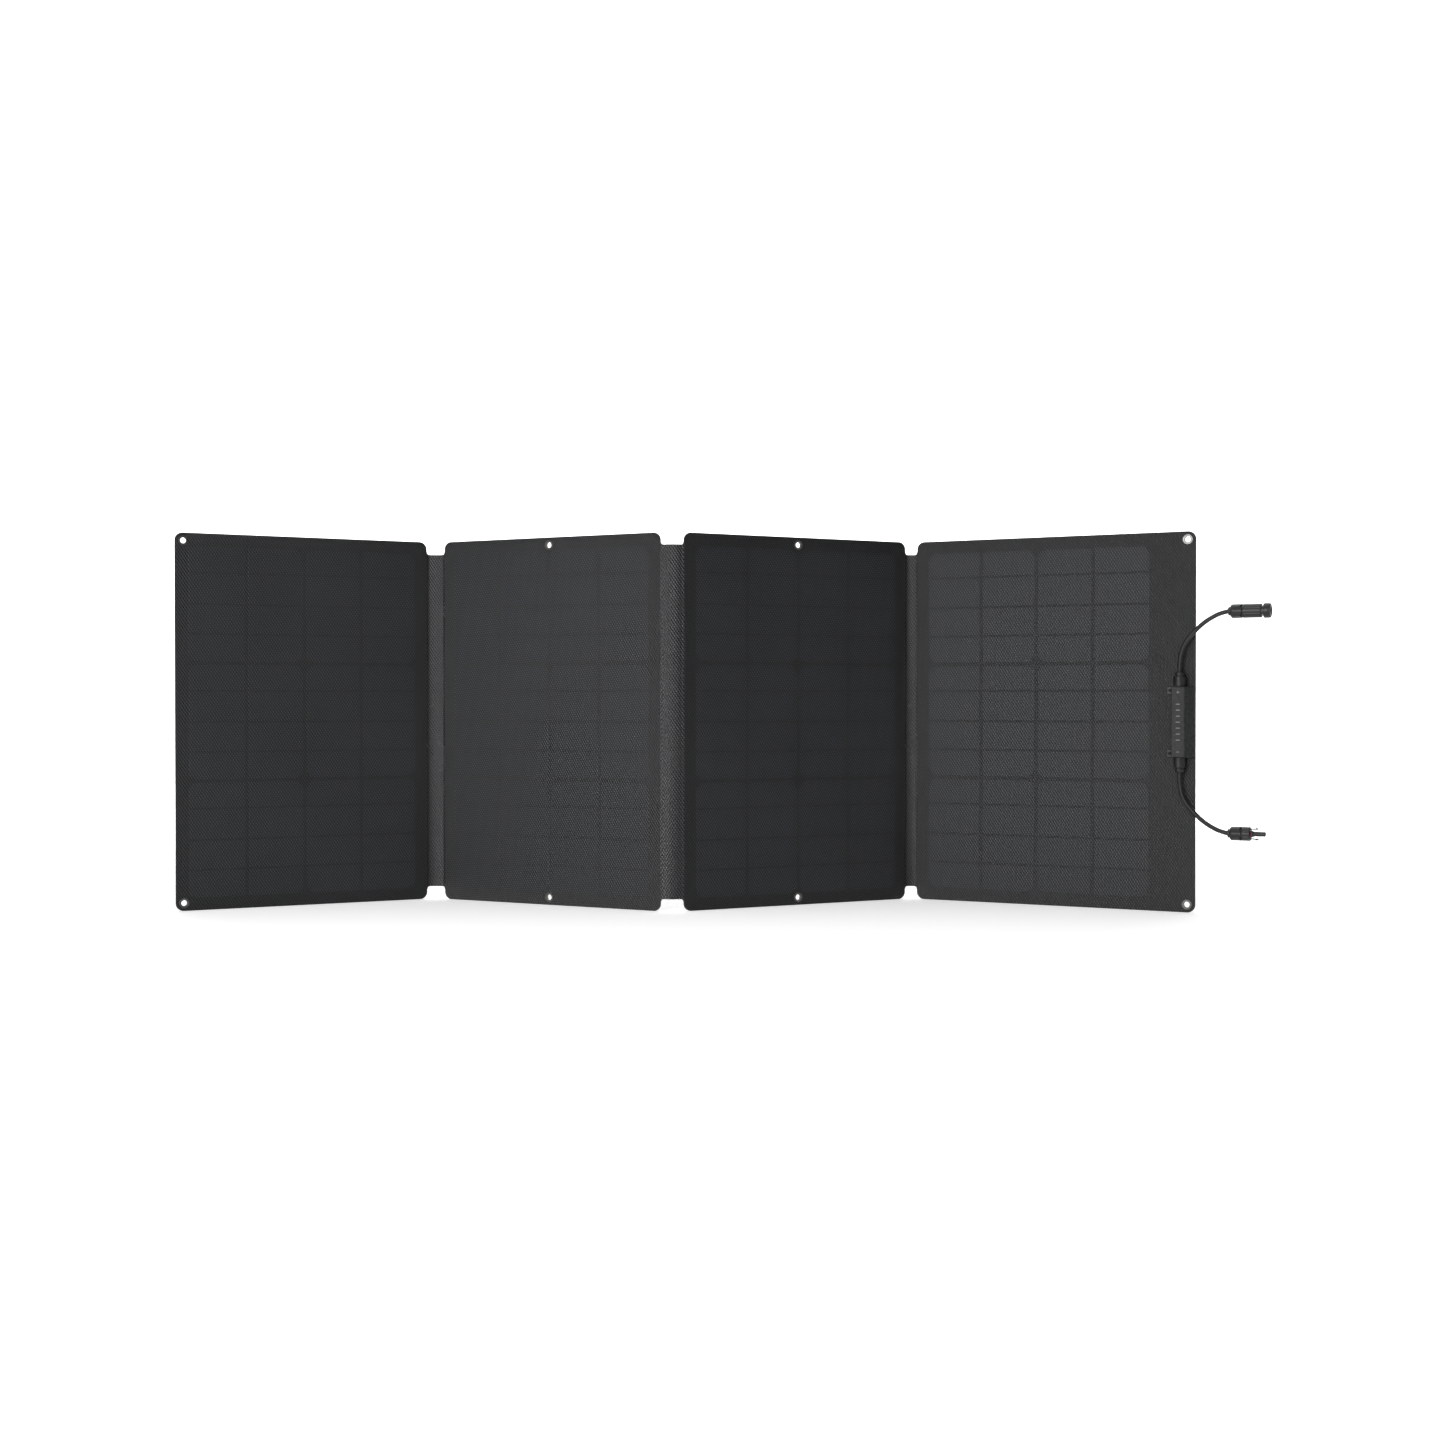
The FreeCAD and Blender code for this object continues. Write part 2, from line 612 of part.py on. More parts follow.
def gland_bodies():
    bore, seal = LEAD_RADIUS + LEAD_CLEARANCE, SEAL_RADIUS + FIT_CLEARANCE
    profile = ((-GLAND_NECK_LENGTH, bore), (-GLAND_NECK_LENGTH, GLAND_NECK_RADIUS),
               (0, GLAND_NECK_RADIUS), (0, GLAND_RADIUS),
               (GLAND_LENGTH - EDGE_BREAK, GLAND_RADIUS),
               (GLAND_LENGTH, GLAND_RADIUS - EDGE_BREAK), (GLAND_LENGTH, seal),
               (GLAND_LENGTH - SEAL_LENGTH, seal), (GLAND_LENGTH - SEAL_LENGTH, bore))
    return both_ends(turned(profile, gland_axis_point(BOX_LENGTH / 2), Z_AXIS))


def gland_seals():
    start = gland_axis_point(BOX_LENGTH / 2 + GLAND_LENGTH - SEAL_LENGTH)
    bore = LEAD_RADIUS + LEAD_CLEARANCE
    profile = ((0, bore), (0, SEAL_RADIUS), (SEAL_LENGTH, SEAL_RADIUS), (SEAL_LENGTH, bore))
    return both_ends(turned(profile, start, Z_AXIS))


def gland_caps():
    start = gland_axis_point(BOX_LENGTH / 2 + GLAND_LENGTH)
    bore = LEAD_RADIUS + LEAD_CLEARANCE
    outline = [(0, bore), (0, CAP_RADIUS)] + rounding(CAP_LENGTH, CAP_RADIUS, CAP_ROUND)
    return both_ends(turned(outline + [(CAP_LENGTH, bore)], start, Z_AXIS))


def internal_leads():
    length = GLAND_END - LEAD_INNER_END
    return both_ends(Part.makeCylinder(LEAD_RADIUS, length, gland_axis_point(LEAD_INNER_END),
                                       Z_AXIS))


# --- leads -----------------------------------------------------------------------------------
def lead_points(end):
    return [V(EDGE + out, LEAD_Y, MIDDLE + end * up) for out, up in LEAD_ROUTE]


def rounded_path(points):
    """Straight runs joined by arcs that touch them, and the arcs' radii."""
    edges, radii, last = [], [], points[0]
    for before, here, after in zip(points, points[1:], points[2:]):
        back, ahead = before - here, after - here
        reach = LEAD_BEND_SHARE * min(back.Length, ahead.Length)
        turn = math.pi - back.getAngle(ahead)
        radius = reach / math.tan(turn / 2)
        back.normalize()
        ahead.normalize()
        start, end = here + back * reach, here + ahead * reach
        inwards = back + ahead
        inwards.normalize()
        crest = here + inwards * (radius / math.cos(turn / 2) - radius)
        edges.append(Part.LineSegment(last, start).toShape())
        edges.append(Part.Arc(start, crest, end).toShape())
        radii.append(round(radius, 1))
        last = end
    edges.append(Part.LineSegment(last, points[-1]).toShape())
    return Part.Wire(edges), radii


def lead(end):
    points = lead_points(end)
    path, radii = rounded_path(points)
    section = Part.Wire(Part.makeCircle(LEAD_RADIUS, points[0], points[1] - points[0]))
    tube = path.makePipeShell([section], True, False)
    wanted = math.pi * LEAD_RADIUS ** 2 * path.Length
    print("lead", "up" if end > 0 else "down", "length", round(path.Length, 1),
          "radii", radii, "volume share", round(tube.Volume / wanted, 4))
    return tube


# --- plug and receptacle ---------------------------------------------------------------------
def connector_nut(origin):
    """A nut with a narrow collar behind, threaded over the housing's rear neck."""
    bore, thread = CONTACT_BARREL_RADIUS + FIT_CLEARANCE, NUT_THREAD_RADIUS + FIT_CLEARANCE
    hollow = NUT_COLLAR + NUT_WALL_BEHIND
    shoulder = rounding(NUT_COLLAR, NUT_RADIUS, NUT_SHOULDER, forwards=False)
    profile = [(0, bore), (0, NUT_COLLAR_RADIUS), (NUT_COLLAR, NUT_COLLAR_RADIUS)] + shoulder
    profile += rounding(NUT_END, NUT_RADIUS, EDGE_BREAK)
    profile += [(NUT_END, thread), (hollow, thread), (hollow, bore)]
    return turned(profile, origin, X_AXIS)


def receptacle_housing(origin):
    body = NUT_END + RECEPTACLE_BODY
    window_end = body + RECEPTACLE_WINDOW
    mouth = receptacle_length()
    neck = NUT_COLLAR + NUT_WALL_BEHIND + FIT_CLEARANCE
    bore = CONTACT_BARREL_RADIUS + FIT_CLEARANCE
    radius, floor = RECEPTACLE_BODY_RADIUS, mouth - RECEPTACLE_BORE_DEPTH
    profile = [(neck, bore), (neck, NUT_THREAD_RADIUS), (NUT_END, NUT_THREAD_RADIUS),
               (NUT_END, radius - EDGE_BREAK), (NUT_END + EDGE_BREAK, radius),
               (window_end, radius), (window_end + EDGE_BREAK, RECEPTACLE_MOUTH_RADIUS)]
    profile += rounding(mouth, RECEPTACLE_MOUTH_RADIUS, 2 * EDGE_BREAK)
    profile += [(mouth, RECEPTACLE_BORE), (floor, RECEPTACLE_BORE), (floor, bore)]
    housing = turned(profile, origin, X_AXIS)
    reach = 2 * RECEPTACLE_MOUTH_RADIUS
    windows = [
        box(origin.x + body, origin.x + window_end, origin.y - reach, origin.y + reach,
            *sorted((origin.z + side * RECEPTACLE_WEB, origin.z + side * reach)))
        for side in (1, -1)
    ]
    return cut_all(housing, windows)


def receptacle_length():
    return NUT_END + RECEPTACLE_BODY + RECEPTACLE_WINDOW + RECEPTACLE_MOUTH


def receptacle_contact(origin):
    barrel = receptacle_length() - RECEPTACLE_BORE_DEPTH + EDGE_BREAK
    tip = receptacle_length() - PIN_INSET
    profile = ((0, 0), (0, CONTACT_BARREL_RADIUS), (barrel, CONTACT_BARREL_RADIUS),
               (barrel, PIN_RADIUS), (tip - EDGE_BREAK, PIN_RADIUS), (tip, PIN_RADIUS / 2),
               (tip, 0))
    return turned(profile, origin, X_AXIS)


def prong(origin, side):
    """A springy locking prong with a barb at its tip, above or below the plug's tube."""
    start = NUT_END + PLUG_BODY
    tip = start + PRONG_LENGTH
    outer, inner = PRONG_OUT, PRONG_OUT - PRONG_THICKNESS
    heel, peak = tip - PRONG_BARB_LENGTH, outer + PRONG_BARB
    root = start - EDGE_BREAK
    points = [(root, inner), (tip, inner), (tip, outer), (heel + EDGE_BREAK, peak), (heel, peak),
              (heel, outer), (root, outer)]
    corners = [origin + V(along, -PRONG_WIDTH / 2, side * out) for along, out in points]
    return Part.Face(Part.makePolygon(corners + corners[:1])).extrude(V(0, PRONG_WIDTH, 0))


def plug_housing(origin):
    body = NUT_END + PLUG_BODY
    seat_end = body + 2 * O_RING_SECTION + FIT_CLEARANCE
    neck = NUT_COLLAR + NUT_WALL_BEHIND + FIT_CLEARANCE
    bore = CONTACT_BARREL_RADIUS + FIT_CLEARANCE
    radius, floor = RECEPTACLE_BODY_RADIUS, body - PLUG_BORE_FLOOR
    profile = [(neck, bore), (neck, NUT_THREAD_RADIUS), (NUT_END, NUT_THREAD_RADIUS),
               (NUT_END, radius - EDGE_BREAK), (NUT_END + EDGE_BREAK, radius)]
    profile += rounding(body, radius, 2 * EDGE_BREAK)
    profile += [(body, PLUG_SEAT_RADIUS), (seat_end, PLUG_SEAT_RADIUS),
                (seat_end, PLUG_TAPER_RADIUS), (seat_end + PLUG_TAPER, PLUG_TUBE_RADIUS)]
    profile += rounding(body + PLUG_TUBE, PLUG_TUBE_RADIUS, EDGE_BREAK / 2)
    profile += [(body + PLUG_TUBE, PLUG_TUBE_BORE), (floor, PLUG_TUBE_BORE), (floor, bore)]
    housing = turned(profile, origin, X_AXIS)
    for side in (1, -1):
        housing = housing.fuse(prong(origin, side))
    return housing.removeSplitter()


def plug_contact(origin):
    body = NUT_END + PLUG_BODY
    end = body + PLUG_TUBE - SOCKET_INSET
    barrel = body - PLUG_BORE_FLOOR - FIT_CLEARANCE
    slim, socket = PLUG_TUBE_BORE - FIT_CLEARANCE, PIN_RADIUS + FIT_CLEARANCE
    profile = ((0, 0), (0, CONTACT_BARREL_RADIUS), (barrel, CONTACT_BARREL_RADIUS),
               (barrel, slim), (end, slim), (end, socket), (body, socket), (body, 0))
    return turned(profile, origin, X_AXIS)


def o_ring(origin):
    along = NUT_END + PLUG_BODY + O_RING_SECTION + FIT_CLEARANCE / 2
    ring_radius = PLUG_SEAT_RADIUS + FIT_CLEARANCE + O_RING_SECTION
    return Part.makeTorus(ring_radius, O_RING_SECTION, origin + X_AXIS * along, X_AXIS)


# --- where the panels stand ------------------------------------------------------------------
def lean(index):
    return STANCE if index % 2 == 0 else -STANCE


def direction(index):
    turn = math.radians(lean(index))
    return V(math.cos(turn), math.sin(turn), 0)


def front_normal(index):
    along = direction(index)
    return V(along.y, -along.x, 0)


def stance():
    """Each panel's left edge and each hinge's axis, before the origin is set."""
    starts, axes = [V(0, 0, 0)], []
    for n, width in enumerate(HINGE_WIDTHS):
        offset = HINGE_OFFSET * hinge_side(n)
        edge = starts[n] + direction(n) * PANEL_WIDTHS[n]
        axis = edge + direction(n) * (width / 2) + front_normal(n) * offset
        axes.append(axis)
        starts.append(axis + direction(n + 1) * (width / 2) - front_normal(n + 1) * offset)
    return starts, axes


def placed(shape, index, start):
    moved = shape.copy()
    place = FreeCAD.Placement(start, FreeCAD.Rotation(Z_AXIS, lean(index)))
    moved.Placement = place.multiply(shape.Placement)
    return moved


LEAD_NODES = ("lead_upper", "lead_lower", "receptacle_nut", "receptacle_housing",
              "receptacle_contact", "plug_nut", "plug_housing", "plug_contact", "plug_o_ring")


def last_panel_pieces():
    """Everything on the last panel besides its laminate."""
    upper, lower = lead_points(1)[-1], lead_points(-1)[-1]
    return {
        "junction_box_base": base(),
        "junction_box_cover": cover(),
        "junction_box_gasket": gasket(),
        "junction_box_adhesive": adhesive_pad(),
        "junction_box_terminals": terminals(),
        "bypass_diode": diode(),
        "gland_bodies": gland_bodies(),
        "gland_seals": gland_seals(),
        "gland_caps": gland_caps(),
        "internal_leads": internal_leads(),
        "lead_upper": lead(1),
        "lead_lower": lead(-1),
        "receptacle_nut": connector_nut(upper),
        "receptacle_housing": receptacle_housing(upper),
        "receptacle_contact": receptacle_contact(upper),
        "plug_nut": connector_nut(lower),
        "plug_housing": plug_housing(lower),
        "plug_contact": plug_contact(lower),
        "plug_o_ring": o_ring(lower),
    }


def model():
    """Every node's shape in the standing sheet's frame, and the hinge axes."""
    starts, axes = stance()
    nodes = {}
    for n in range(PANELS):
        pieces = {f"panel_{n + 1}_{name}": s for name, s in laminate_pieces(n).items()}
        pieces[f"panel_{n + 1}_eyelets"] = group(eyelet(x, z) for x, z in eyelet_places(n))
        pieces[f"panel_{n + 1}_eyelet_washers"] = group(
            eyelet_washer(x, z) for x, z in eyelet_places(n))
        if n < LAST:
            pieces.update({f"hinge_{n + 1}_{k}": s for k, s in hinge_pieces(n).items()})
        else:
            pieces.update(last_panel_pieces())
        nodes.update({name: placed(s, n, starts[n]) for name, s in pieces.items()})
    bounds = group(s for name, s in nodes.items() if name not in LEAD_NODES).BoundBox
    origin = V(bounds.Center.x, bounds.Center.y, bounds.ZMin)
    for shape in nodes.values():
        shape.translate(origin * -1)
    return nodes, [axis - origin for axis in axes], [start - origin for start in starts]


def export(nodes):
    os.makedirs("parts", exist_ok=True)
    for name, shape in nodes.items():
        shape.exportStep(f"parts/{name}.step")


if __name__ == "__main__":
    nodes, axes, starts = model()
    export(nodes)
    print(len(nodes), "nodes")
    for n, axis in enumerate(axes):
        print(f"fold_{n + 1} axis", round(axis.x, 3), round(axis.y, 3))
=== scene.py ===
# %% [markdown]
# A folding solar sheet stands in a zigzag: four stiff panels, three soft hinges, a junction box and
# two short leads. The frame holds every piece that fits or moves, so this file only adds looks: what
# the frame's plain solids lack is built round them, in metres, in the frame's own axes.

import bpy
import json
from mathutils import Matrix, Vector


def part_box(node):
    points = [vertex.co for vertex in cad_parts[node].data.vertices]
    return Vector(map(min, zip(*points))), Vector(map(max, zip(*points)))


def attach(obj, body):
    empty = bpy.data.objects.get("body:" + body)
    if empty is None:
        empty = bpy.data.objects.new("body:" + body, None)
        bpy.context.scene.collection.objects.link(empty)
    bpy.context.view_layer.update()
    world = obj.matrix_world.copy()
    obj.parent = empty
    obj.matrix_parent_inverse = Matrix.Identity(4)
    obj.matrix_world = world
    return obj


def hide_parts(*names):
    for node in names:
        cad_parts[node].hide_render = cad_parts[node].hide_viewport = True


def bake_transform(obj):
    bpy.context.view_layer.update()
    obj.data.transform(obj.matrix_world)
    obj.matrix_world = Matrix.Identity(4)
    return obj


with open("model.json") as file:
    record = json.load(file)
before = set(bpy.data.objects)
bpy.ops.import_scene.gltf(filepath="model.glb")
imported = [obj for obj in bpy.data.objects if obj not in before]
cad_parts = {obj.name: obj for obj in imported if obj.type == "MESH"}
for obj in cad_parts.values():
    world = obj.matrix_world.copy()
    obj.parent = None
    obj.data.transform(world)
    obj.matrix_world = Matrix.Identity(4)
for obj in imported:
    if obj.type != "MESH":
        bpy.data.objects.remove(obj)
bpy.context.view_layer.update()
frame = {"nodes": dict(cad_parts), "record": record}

import json
import math
from types import SimpleNamespace

import bpy
import numpy as np
from mathutils import Matrix, Vector
from mathutils.geometry import delaunay_2d_cdt

UP = Vector((0, 0, 1))
MM = 0.001

# %% [markdown]
# A catalogue picture of a long, low object is taken from a little above its middle and from well
# away, so its upright edges stay upright. A track quaternion turns a camera along one direction,
# which is easier to read than three angles.

# %% Camera
CAMERA_PLACE = Vector((0.0475, -2.5584, 0.2833))
CAMERA_YAW = math.radians(0.11)
CAMERA_PITCH = math.radians(0.645)
camera = bpy.data.objects.new("camera", bpy.data.cameras.new("camera"))
bpy.context.scene.collection.objects.link(camera)
camera.data.sensor_width = 36
camera.data.lens = 45.98
camera.location = CAMERA_PLACE
looking = Vector((math.sin(CAMERA_YAW) * math.cos(CAMERA_PITCH),
                  math.cos(CAMERA_YAW) * math.cos(CAMERA_PITCH), -math.sin(CAMERA_PITCH)))
camera.rotation_mode = "QUATERNION"
camera.rotation_quaternion = looking.to_track_quat("-Z", "Y")
bpy.context.scene.camera = camera
print("camera looks along", [round(x, 3) for x in looking])

# %% [markdown]
# Each panel is drawn flat, in axes of its own: across from its left edge, up, and out from the film.
# The widest faces of the panel's film say which way it looks, and that gives all three axes exactly.
# Reading them from the frame keeps every added piece in its place if the stance changes.

# %% A panel's own axes
PANELS = ("panel_1", "panel_2", "panel_3", "panel_4")
HINGES = ("hinge_1", "hinge_2", "hinge_3")
FACING_FRONT = -0.5         # a face whose normal's y is below this looks to the front


def node_points(name):
    mesh = frame["nodes"][name].data
    points = np.zeros(len(mesh.vertices) * 3, np.float32)
    mesh.vertices.foreach_get("co", points)
    return points.reshape(-1, 3).astype(float)


def panel_axes(name):
    """A panel's axes, its size, and the depth of its fabric's back behind the film's face."""
    film = frame["nodes"][f"{name}_front_film"].data
    front = Vector()
    for face in film.polygons:
        if face.normal.y < FACING_FRONT:
            front += face.normal * face.area
    front.normalize()
    across = front.cross(UP) * -1
    points, cloth = node_points(f"{name}_front_film"), node_points(f"{name}_rear_fabric")
    along, out = points @ np.array(across), points @ np.array(front)
    cloth_out = cloth @ np.array(front)
    axes = SimpleNamespace(across=across, front=front, left=along.min(), face=out.max(),
                           width=along.max() - along.min(), height=points[:, 2].max(),
                           rim=out.max() - cloth_out.max(), back=out.max() - cloth_out.min())

    def at(x, z, proud=0.0):
        return across * (axes.left + x) + front * (axes.face + proud) + UP * z

    def flat(point):
        point = Vector(point)
        return point.dot(across) - axes.left, point.z, point.dot(front) - axes.face

    axes.at, axes.flat = at, flat
    return axes


axes_of = {name: panel_axes(name) for name in PANELS}
for name, axes in axes_of.items():
    lean = math.degrees(math.atan2(axes.front.x, -axes.front.y))
    print(name, "width", round(axes.width, 4), "turned", round(lean, 2))
last = axes_of["panel_4"]

# %% [markdown]
# Each lead leaves its gland straight, bends out past the sheet's edge and ends level, in a connector.
# It is stiff enough to hold this curve by itself. One NURBS spline over a few given points
# gives a line with no kinks, and its bevel makes the round jacket.

# %% Leads
LEAD_RADIUS = 3.0 * MM
LEAD_IN = 19.3 * MM
LEAD_PROUD = 9.0 * MM
LEAD_ROUTE = ((-0.0193, 0.068), (-0.0193, 0.085), (-0.0145, 0.1025), (-0.004, 0.1169),
              (0.0122, 0.1327), (0.0277, 0.1418), (0.037, 0.1454), (0.0449, 0.147))
middle = last.height / 2


def lead_point(out, up, end):
    """A point in front of the last panel: out from its right edge, up or down from its middle."""
    return last.at(last.width + out, middle + end * up, LEAD_PROUD)


def lead(name, end):
    curve = bpy.data.curves.new(name, "CURVE")
    curve.dimensions = "3D"
    spline = curve.splines.new("NURBS")
    spline.points.add(len(LEAD_ROUTE) - 1)
    for point, (out, up) in zip(spline.points, LEAD_ROUTE):
        point.co = (*lead_point(out, up, end), 1)
    spline.order_u = 3
    spline.use_endpoint_u = True
    spline.resolution_u = 12
    curve.bevel_depth = LEAD_RADIUS
    curve.bevel_resolution = 6
    piece = bpy.data.objects.new(name, curve)
    bpy.context.scene.collection.objects.link(piece)
    return piece


leads = {1: lead("lead_jacket_upper", 1), -1: lead("lead_jacket_lower", -1)}
print("leads end at", [[round(x, 3) for x in lead_point(*LEAD_ROUTE[-1], end)] for end in leads])

# %% [markdown]
# Nearly every finish here is a dark polymer, and what tells them apart is their surface: the film's
# embossed twill, the cloth's plain weave, the moulded parts' fine spark grain. Each effect is one node
# group with its own inputs, so that every material can place it at its own scale.

# %% Node groups: a helper
def linear(colour):
    """A display colour such as 2c2e30, as the linear numbers that a shader takes."""
    parts = [int(colour[n:n + 2], 16) / 255 for n in (0, 2, 4)]
    return tuple(p / 12.92 if p < 0.04045 else ((p + 0.055) / 1.055) ** 2.4 for p in parts)


def effect(name, inputs, outputs):
    """A new shader group: inputs are {name: starting number}, outputs are names."""
    group = bpy.data.node_groups.new(name, "ShaderNodeTree")
    for label, start in inputs.items():
        if start is None:
            group.interface.new_socket(label, in_out="INPUT", socket_type="NodeSocketVector")
        else:
            socket = group.interface.new_socket(label, in_out="INPUT",
                                                socket_type="NodeSocketFloat")
            socket.default_value = start
    for label in outputs:
        group.interface.new_socket(label, in_out="OUTPUT", socket_type="NodeSocketFloat")
    given, made = group.nodes.new("NodeGroupInput"), group.nodes.new("NodeGroupOutput")
    return group, given, made


def sums(tree, operation, *values):
    """A Math node: each value is a socket or a number. Gives its output."""
    node = tree.nodes.new("ShaderNodeMath")
    node.operation = operation
    for socket, value in zip(node.inputs, values):
        if isinstance(value, (int, float)):
            socket.default_value = value
        else:
            tree.links.new(value, socket)
    return node.outputs[0]


def spread(tree, value, low, high, to_low, to_high):
    """A Map Range node, clamped."""
    node = tree.nodes.new("ShaderNodeMapRange")
    for socket, number in zip(list(node.inputs)[1:5], (low, high, to_low, to_high)):
        socket.default_value = number
    tree.links.new(value, node.inputs[0])
    return node.outputs[0]


def noise(tree, place, scale, detail=2.0, rough=0.5):
    node = tree.nodes.new("ShaderNodeTexNoise")
    node.inputs["Detail"].default_value = detail
    node.inputs["Roughness"].default_value = rough
    if isinstance(scale, (int, float)):
        node.inputs["Scale"].default_value = scale
    else:
        tree.links.new(scale, node.inputs["Scale"])
    tree.links.new(place, node.inputs["Vector"])
    return node.outputs["Fac"]


# %% [markdown]
# The film is pressed against a mesh while it is hot, so small domes stand on it in slanting rows.
# Two crossed waves added together make such a lattice, and unequal strengths let one row direction
# show more. The waves are given in rows for each millimetre, so the pattern keeps its real size.

# %% Effect: embossed twill
STEEP_ROWS = (0.2527, 0.169)        # rows for each millimetre, across and up
CROSS_ROWS = (0.286, -0.163)


def wave(tree, across, up, rows):
    turns = sums(tree, "ADD", sums(tree, "MULTIPLY", across, rows[0] * 1000),
                 sums(tree, "MULTIPLY", up, rows[1] * 1000))
    return sums(tree, "COSINE", sums(tree, "MULTIPLY", turns, 2 * math.pi))


def make_twill():
    group, given, made = effect("embossed_twill", {"Sheet place": None, "Cross strength": 0.6},
                                ("Height", "Crest"))
    split = group.nodes.new("ShaderNodeSeparateXYZ")
    group.links.new(given.outputs["Sheet place"], split.inputs[0])
    across, up = split.outputs[0], split.outputs[1]
    steep = wave(group, across, up, STEEP_ROWS)
    cross = sums(group, "MULTIPLY", wave(group, across, up, CROSS_ROWS),
                 given.outputs["Cross strength"])
    uneven = noise(group, given.outputs["Sheet place"], 700.0)
    total = sums(group, "ADD", sums(group, "ADD", steep, cross), sums(group, "SUBTRACT", uneven, 0.5))
    group.links.new(spread(group, total, -1.6, 1.6, 0, 1), made.inputs["Height"])
    group.links.new(spread(group, total, 0.4, 1.1, 0, 1), made.inputs["Crest"])
    return group


twill = make_twill()

# %% [markdown]
# The cloth on the back is a plain weave of thick yarn: over one, under one. The product of two sines
# gives that chequer, and the sign of it says which yarn is on top. Sheen off the crests is what the
# eye reads as cloth.

# %% Effect: plain weave
def make_weave():
    group, given, made = effect("plain_weave", {"Sheet place": None, "Yarns per metre": 900.0},
                                ("Height", "Crest"))
    split = group.nodes.new("ShaderNodeSeparateXYZ")
    group.links.new(given.outputs["Sheet place"], split.inputs[0])
    turns = sums(group, "MULTIPLY", given.outputs["Yarns per metre"], math.pi)
    across = sums(group, "SINE", sums(group, "MULTIPLY", split.outputs[0], turns))
    up = sums(group, "SINE", sums(group, "MULTIPLY", split.outputs[1], turns))
    weft = sums(group, "ABSOLUTE", across)
    warp = sums(group, "ABSOLUTE", up)
    over = spread(group, sums(group, "MULTIPLY", across, up), -0.3, 0.3, 0, 1)
    under = sums(group, "SUBTRACT", 1.0, over)
    height = sums(group, "ADD", sums(group, "MULTIPLY", weft, over),
                  sums(group, "MULTIPLY", warp, under))
    slub = noise(group, given.outputs["Sheet place"], 160.0, 4.0)
    group.links.new(sums(group, "ADD", height, sums(group, "MULTIPLY", slub, 0.35)),
                    made.inputs["Height"])
    group.links.new(spread(group, height, 0.45, 1.0, 0, 1), made.inputs["Crest"])
    return group


weave = make_weave()

# %% [markdown]
# A steel mould is spark eroded to a fine even grain, which hides sink marks and finger prints on the
# plastic. Two noises, one much finer than the other, give that grain its slight unevenness.

# %% Effects: moulded grain, handling wear and cloudiness
def make_grain():
    group, given, made = effect("moulded_grain", {"Place": None, "Scale": 2600.0}, ("Height",))
    fine = noise(group, given.outputs["Place"], given.outputs["Scale"], 3.0, 0.6)
    coarse = noise(group, given.outputs["Place"],
                   sums(group, "MULTIPLY", given.outputs["Scale"], 0.22))
    group.links.new(sums(group, "ADD", fine, sums(group, "MULTIPLY", coarse, 0.5)),
                    made.inputs["Height"])
    return group


def make_wear():
    """Paler where an edge sticks out, broken up by noise."""
    group, given, made = effect("edge_wear", {"Place": None, "Amount": 0.5}, ("Mask",))
    geometry = group.nodes.new("ShaderNodeNewGeometry")
    edge = spread(group, geometry.outputs["Pointiness"], 0.51, 0.58, 0, 1)
    patches = spread(group, noise(group, given.outputs["Place"], 240.0, 4.0), 0.35, 0.7, 0, 1)
    worn = sums(group, "MULTIPLY", sums(group, "MULTIPLY", edge, patches),
                given.outputs["Amount"])
    group.links.new(worn, made.inputs["Mask"])
    return group


def make_clouding():
    """Slow changes over a surface: faint dust, finger marks, uneven gloss."""
    group, given, made = effect("clouding", {"Place": None, "Scale": 12.0}, ("Mask",))
    slow = noise(group, given.outputs["Place"], given.outputs["Scale"], 5.0, 0.6)
    group.links.new(spread(group, slow, 0.3, 0.7, 0, 1), made.inputs["Mask"])
    return group


grain, wear, clouding = make_grain(), make_wear(), make_clouding()
print("effects:", ", ".join(g.name for g in (twill, weave, grain, wear, clouding)))

# %% [markdown]
# A finish starts from one shader whose own sockets hold what is the same all over. Then effects are
# laid on it one by one: each may lighten the colour, roughen the gloss and raise the surface. Keeping
# this in one small class means that a new finish is three or four lines.

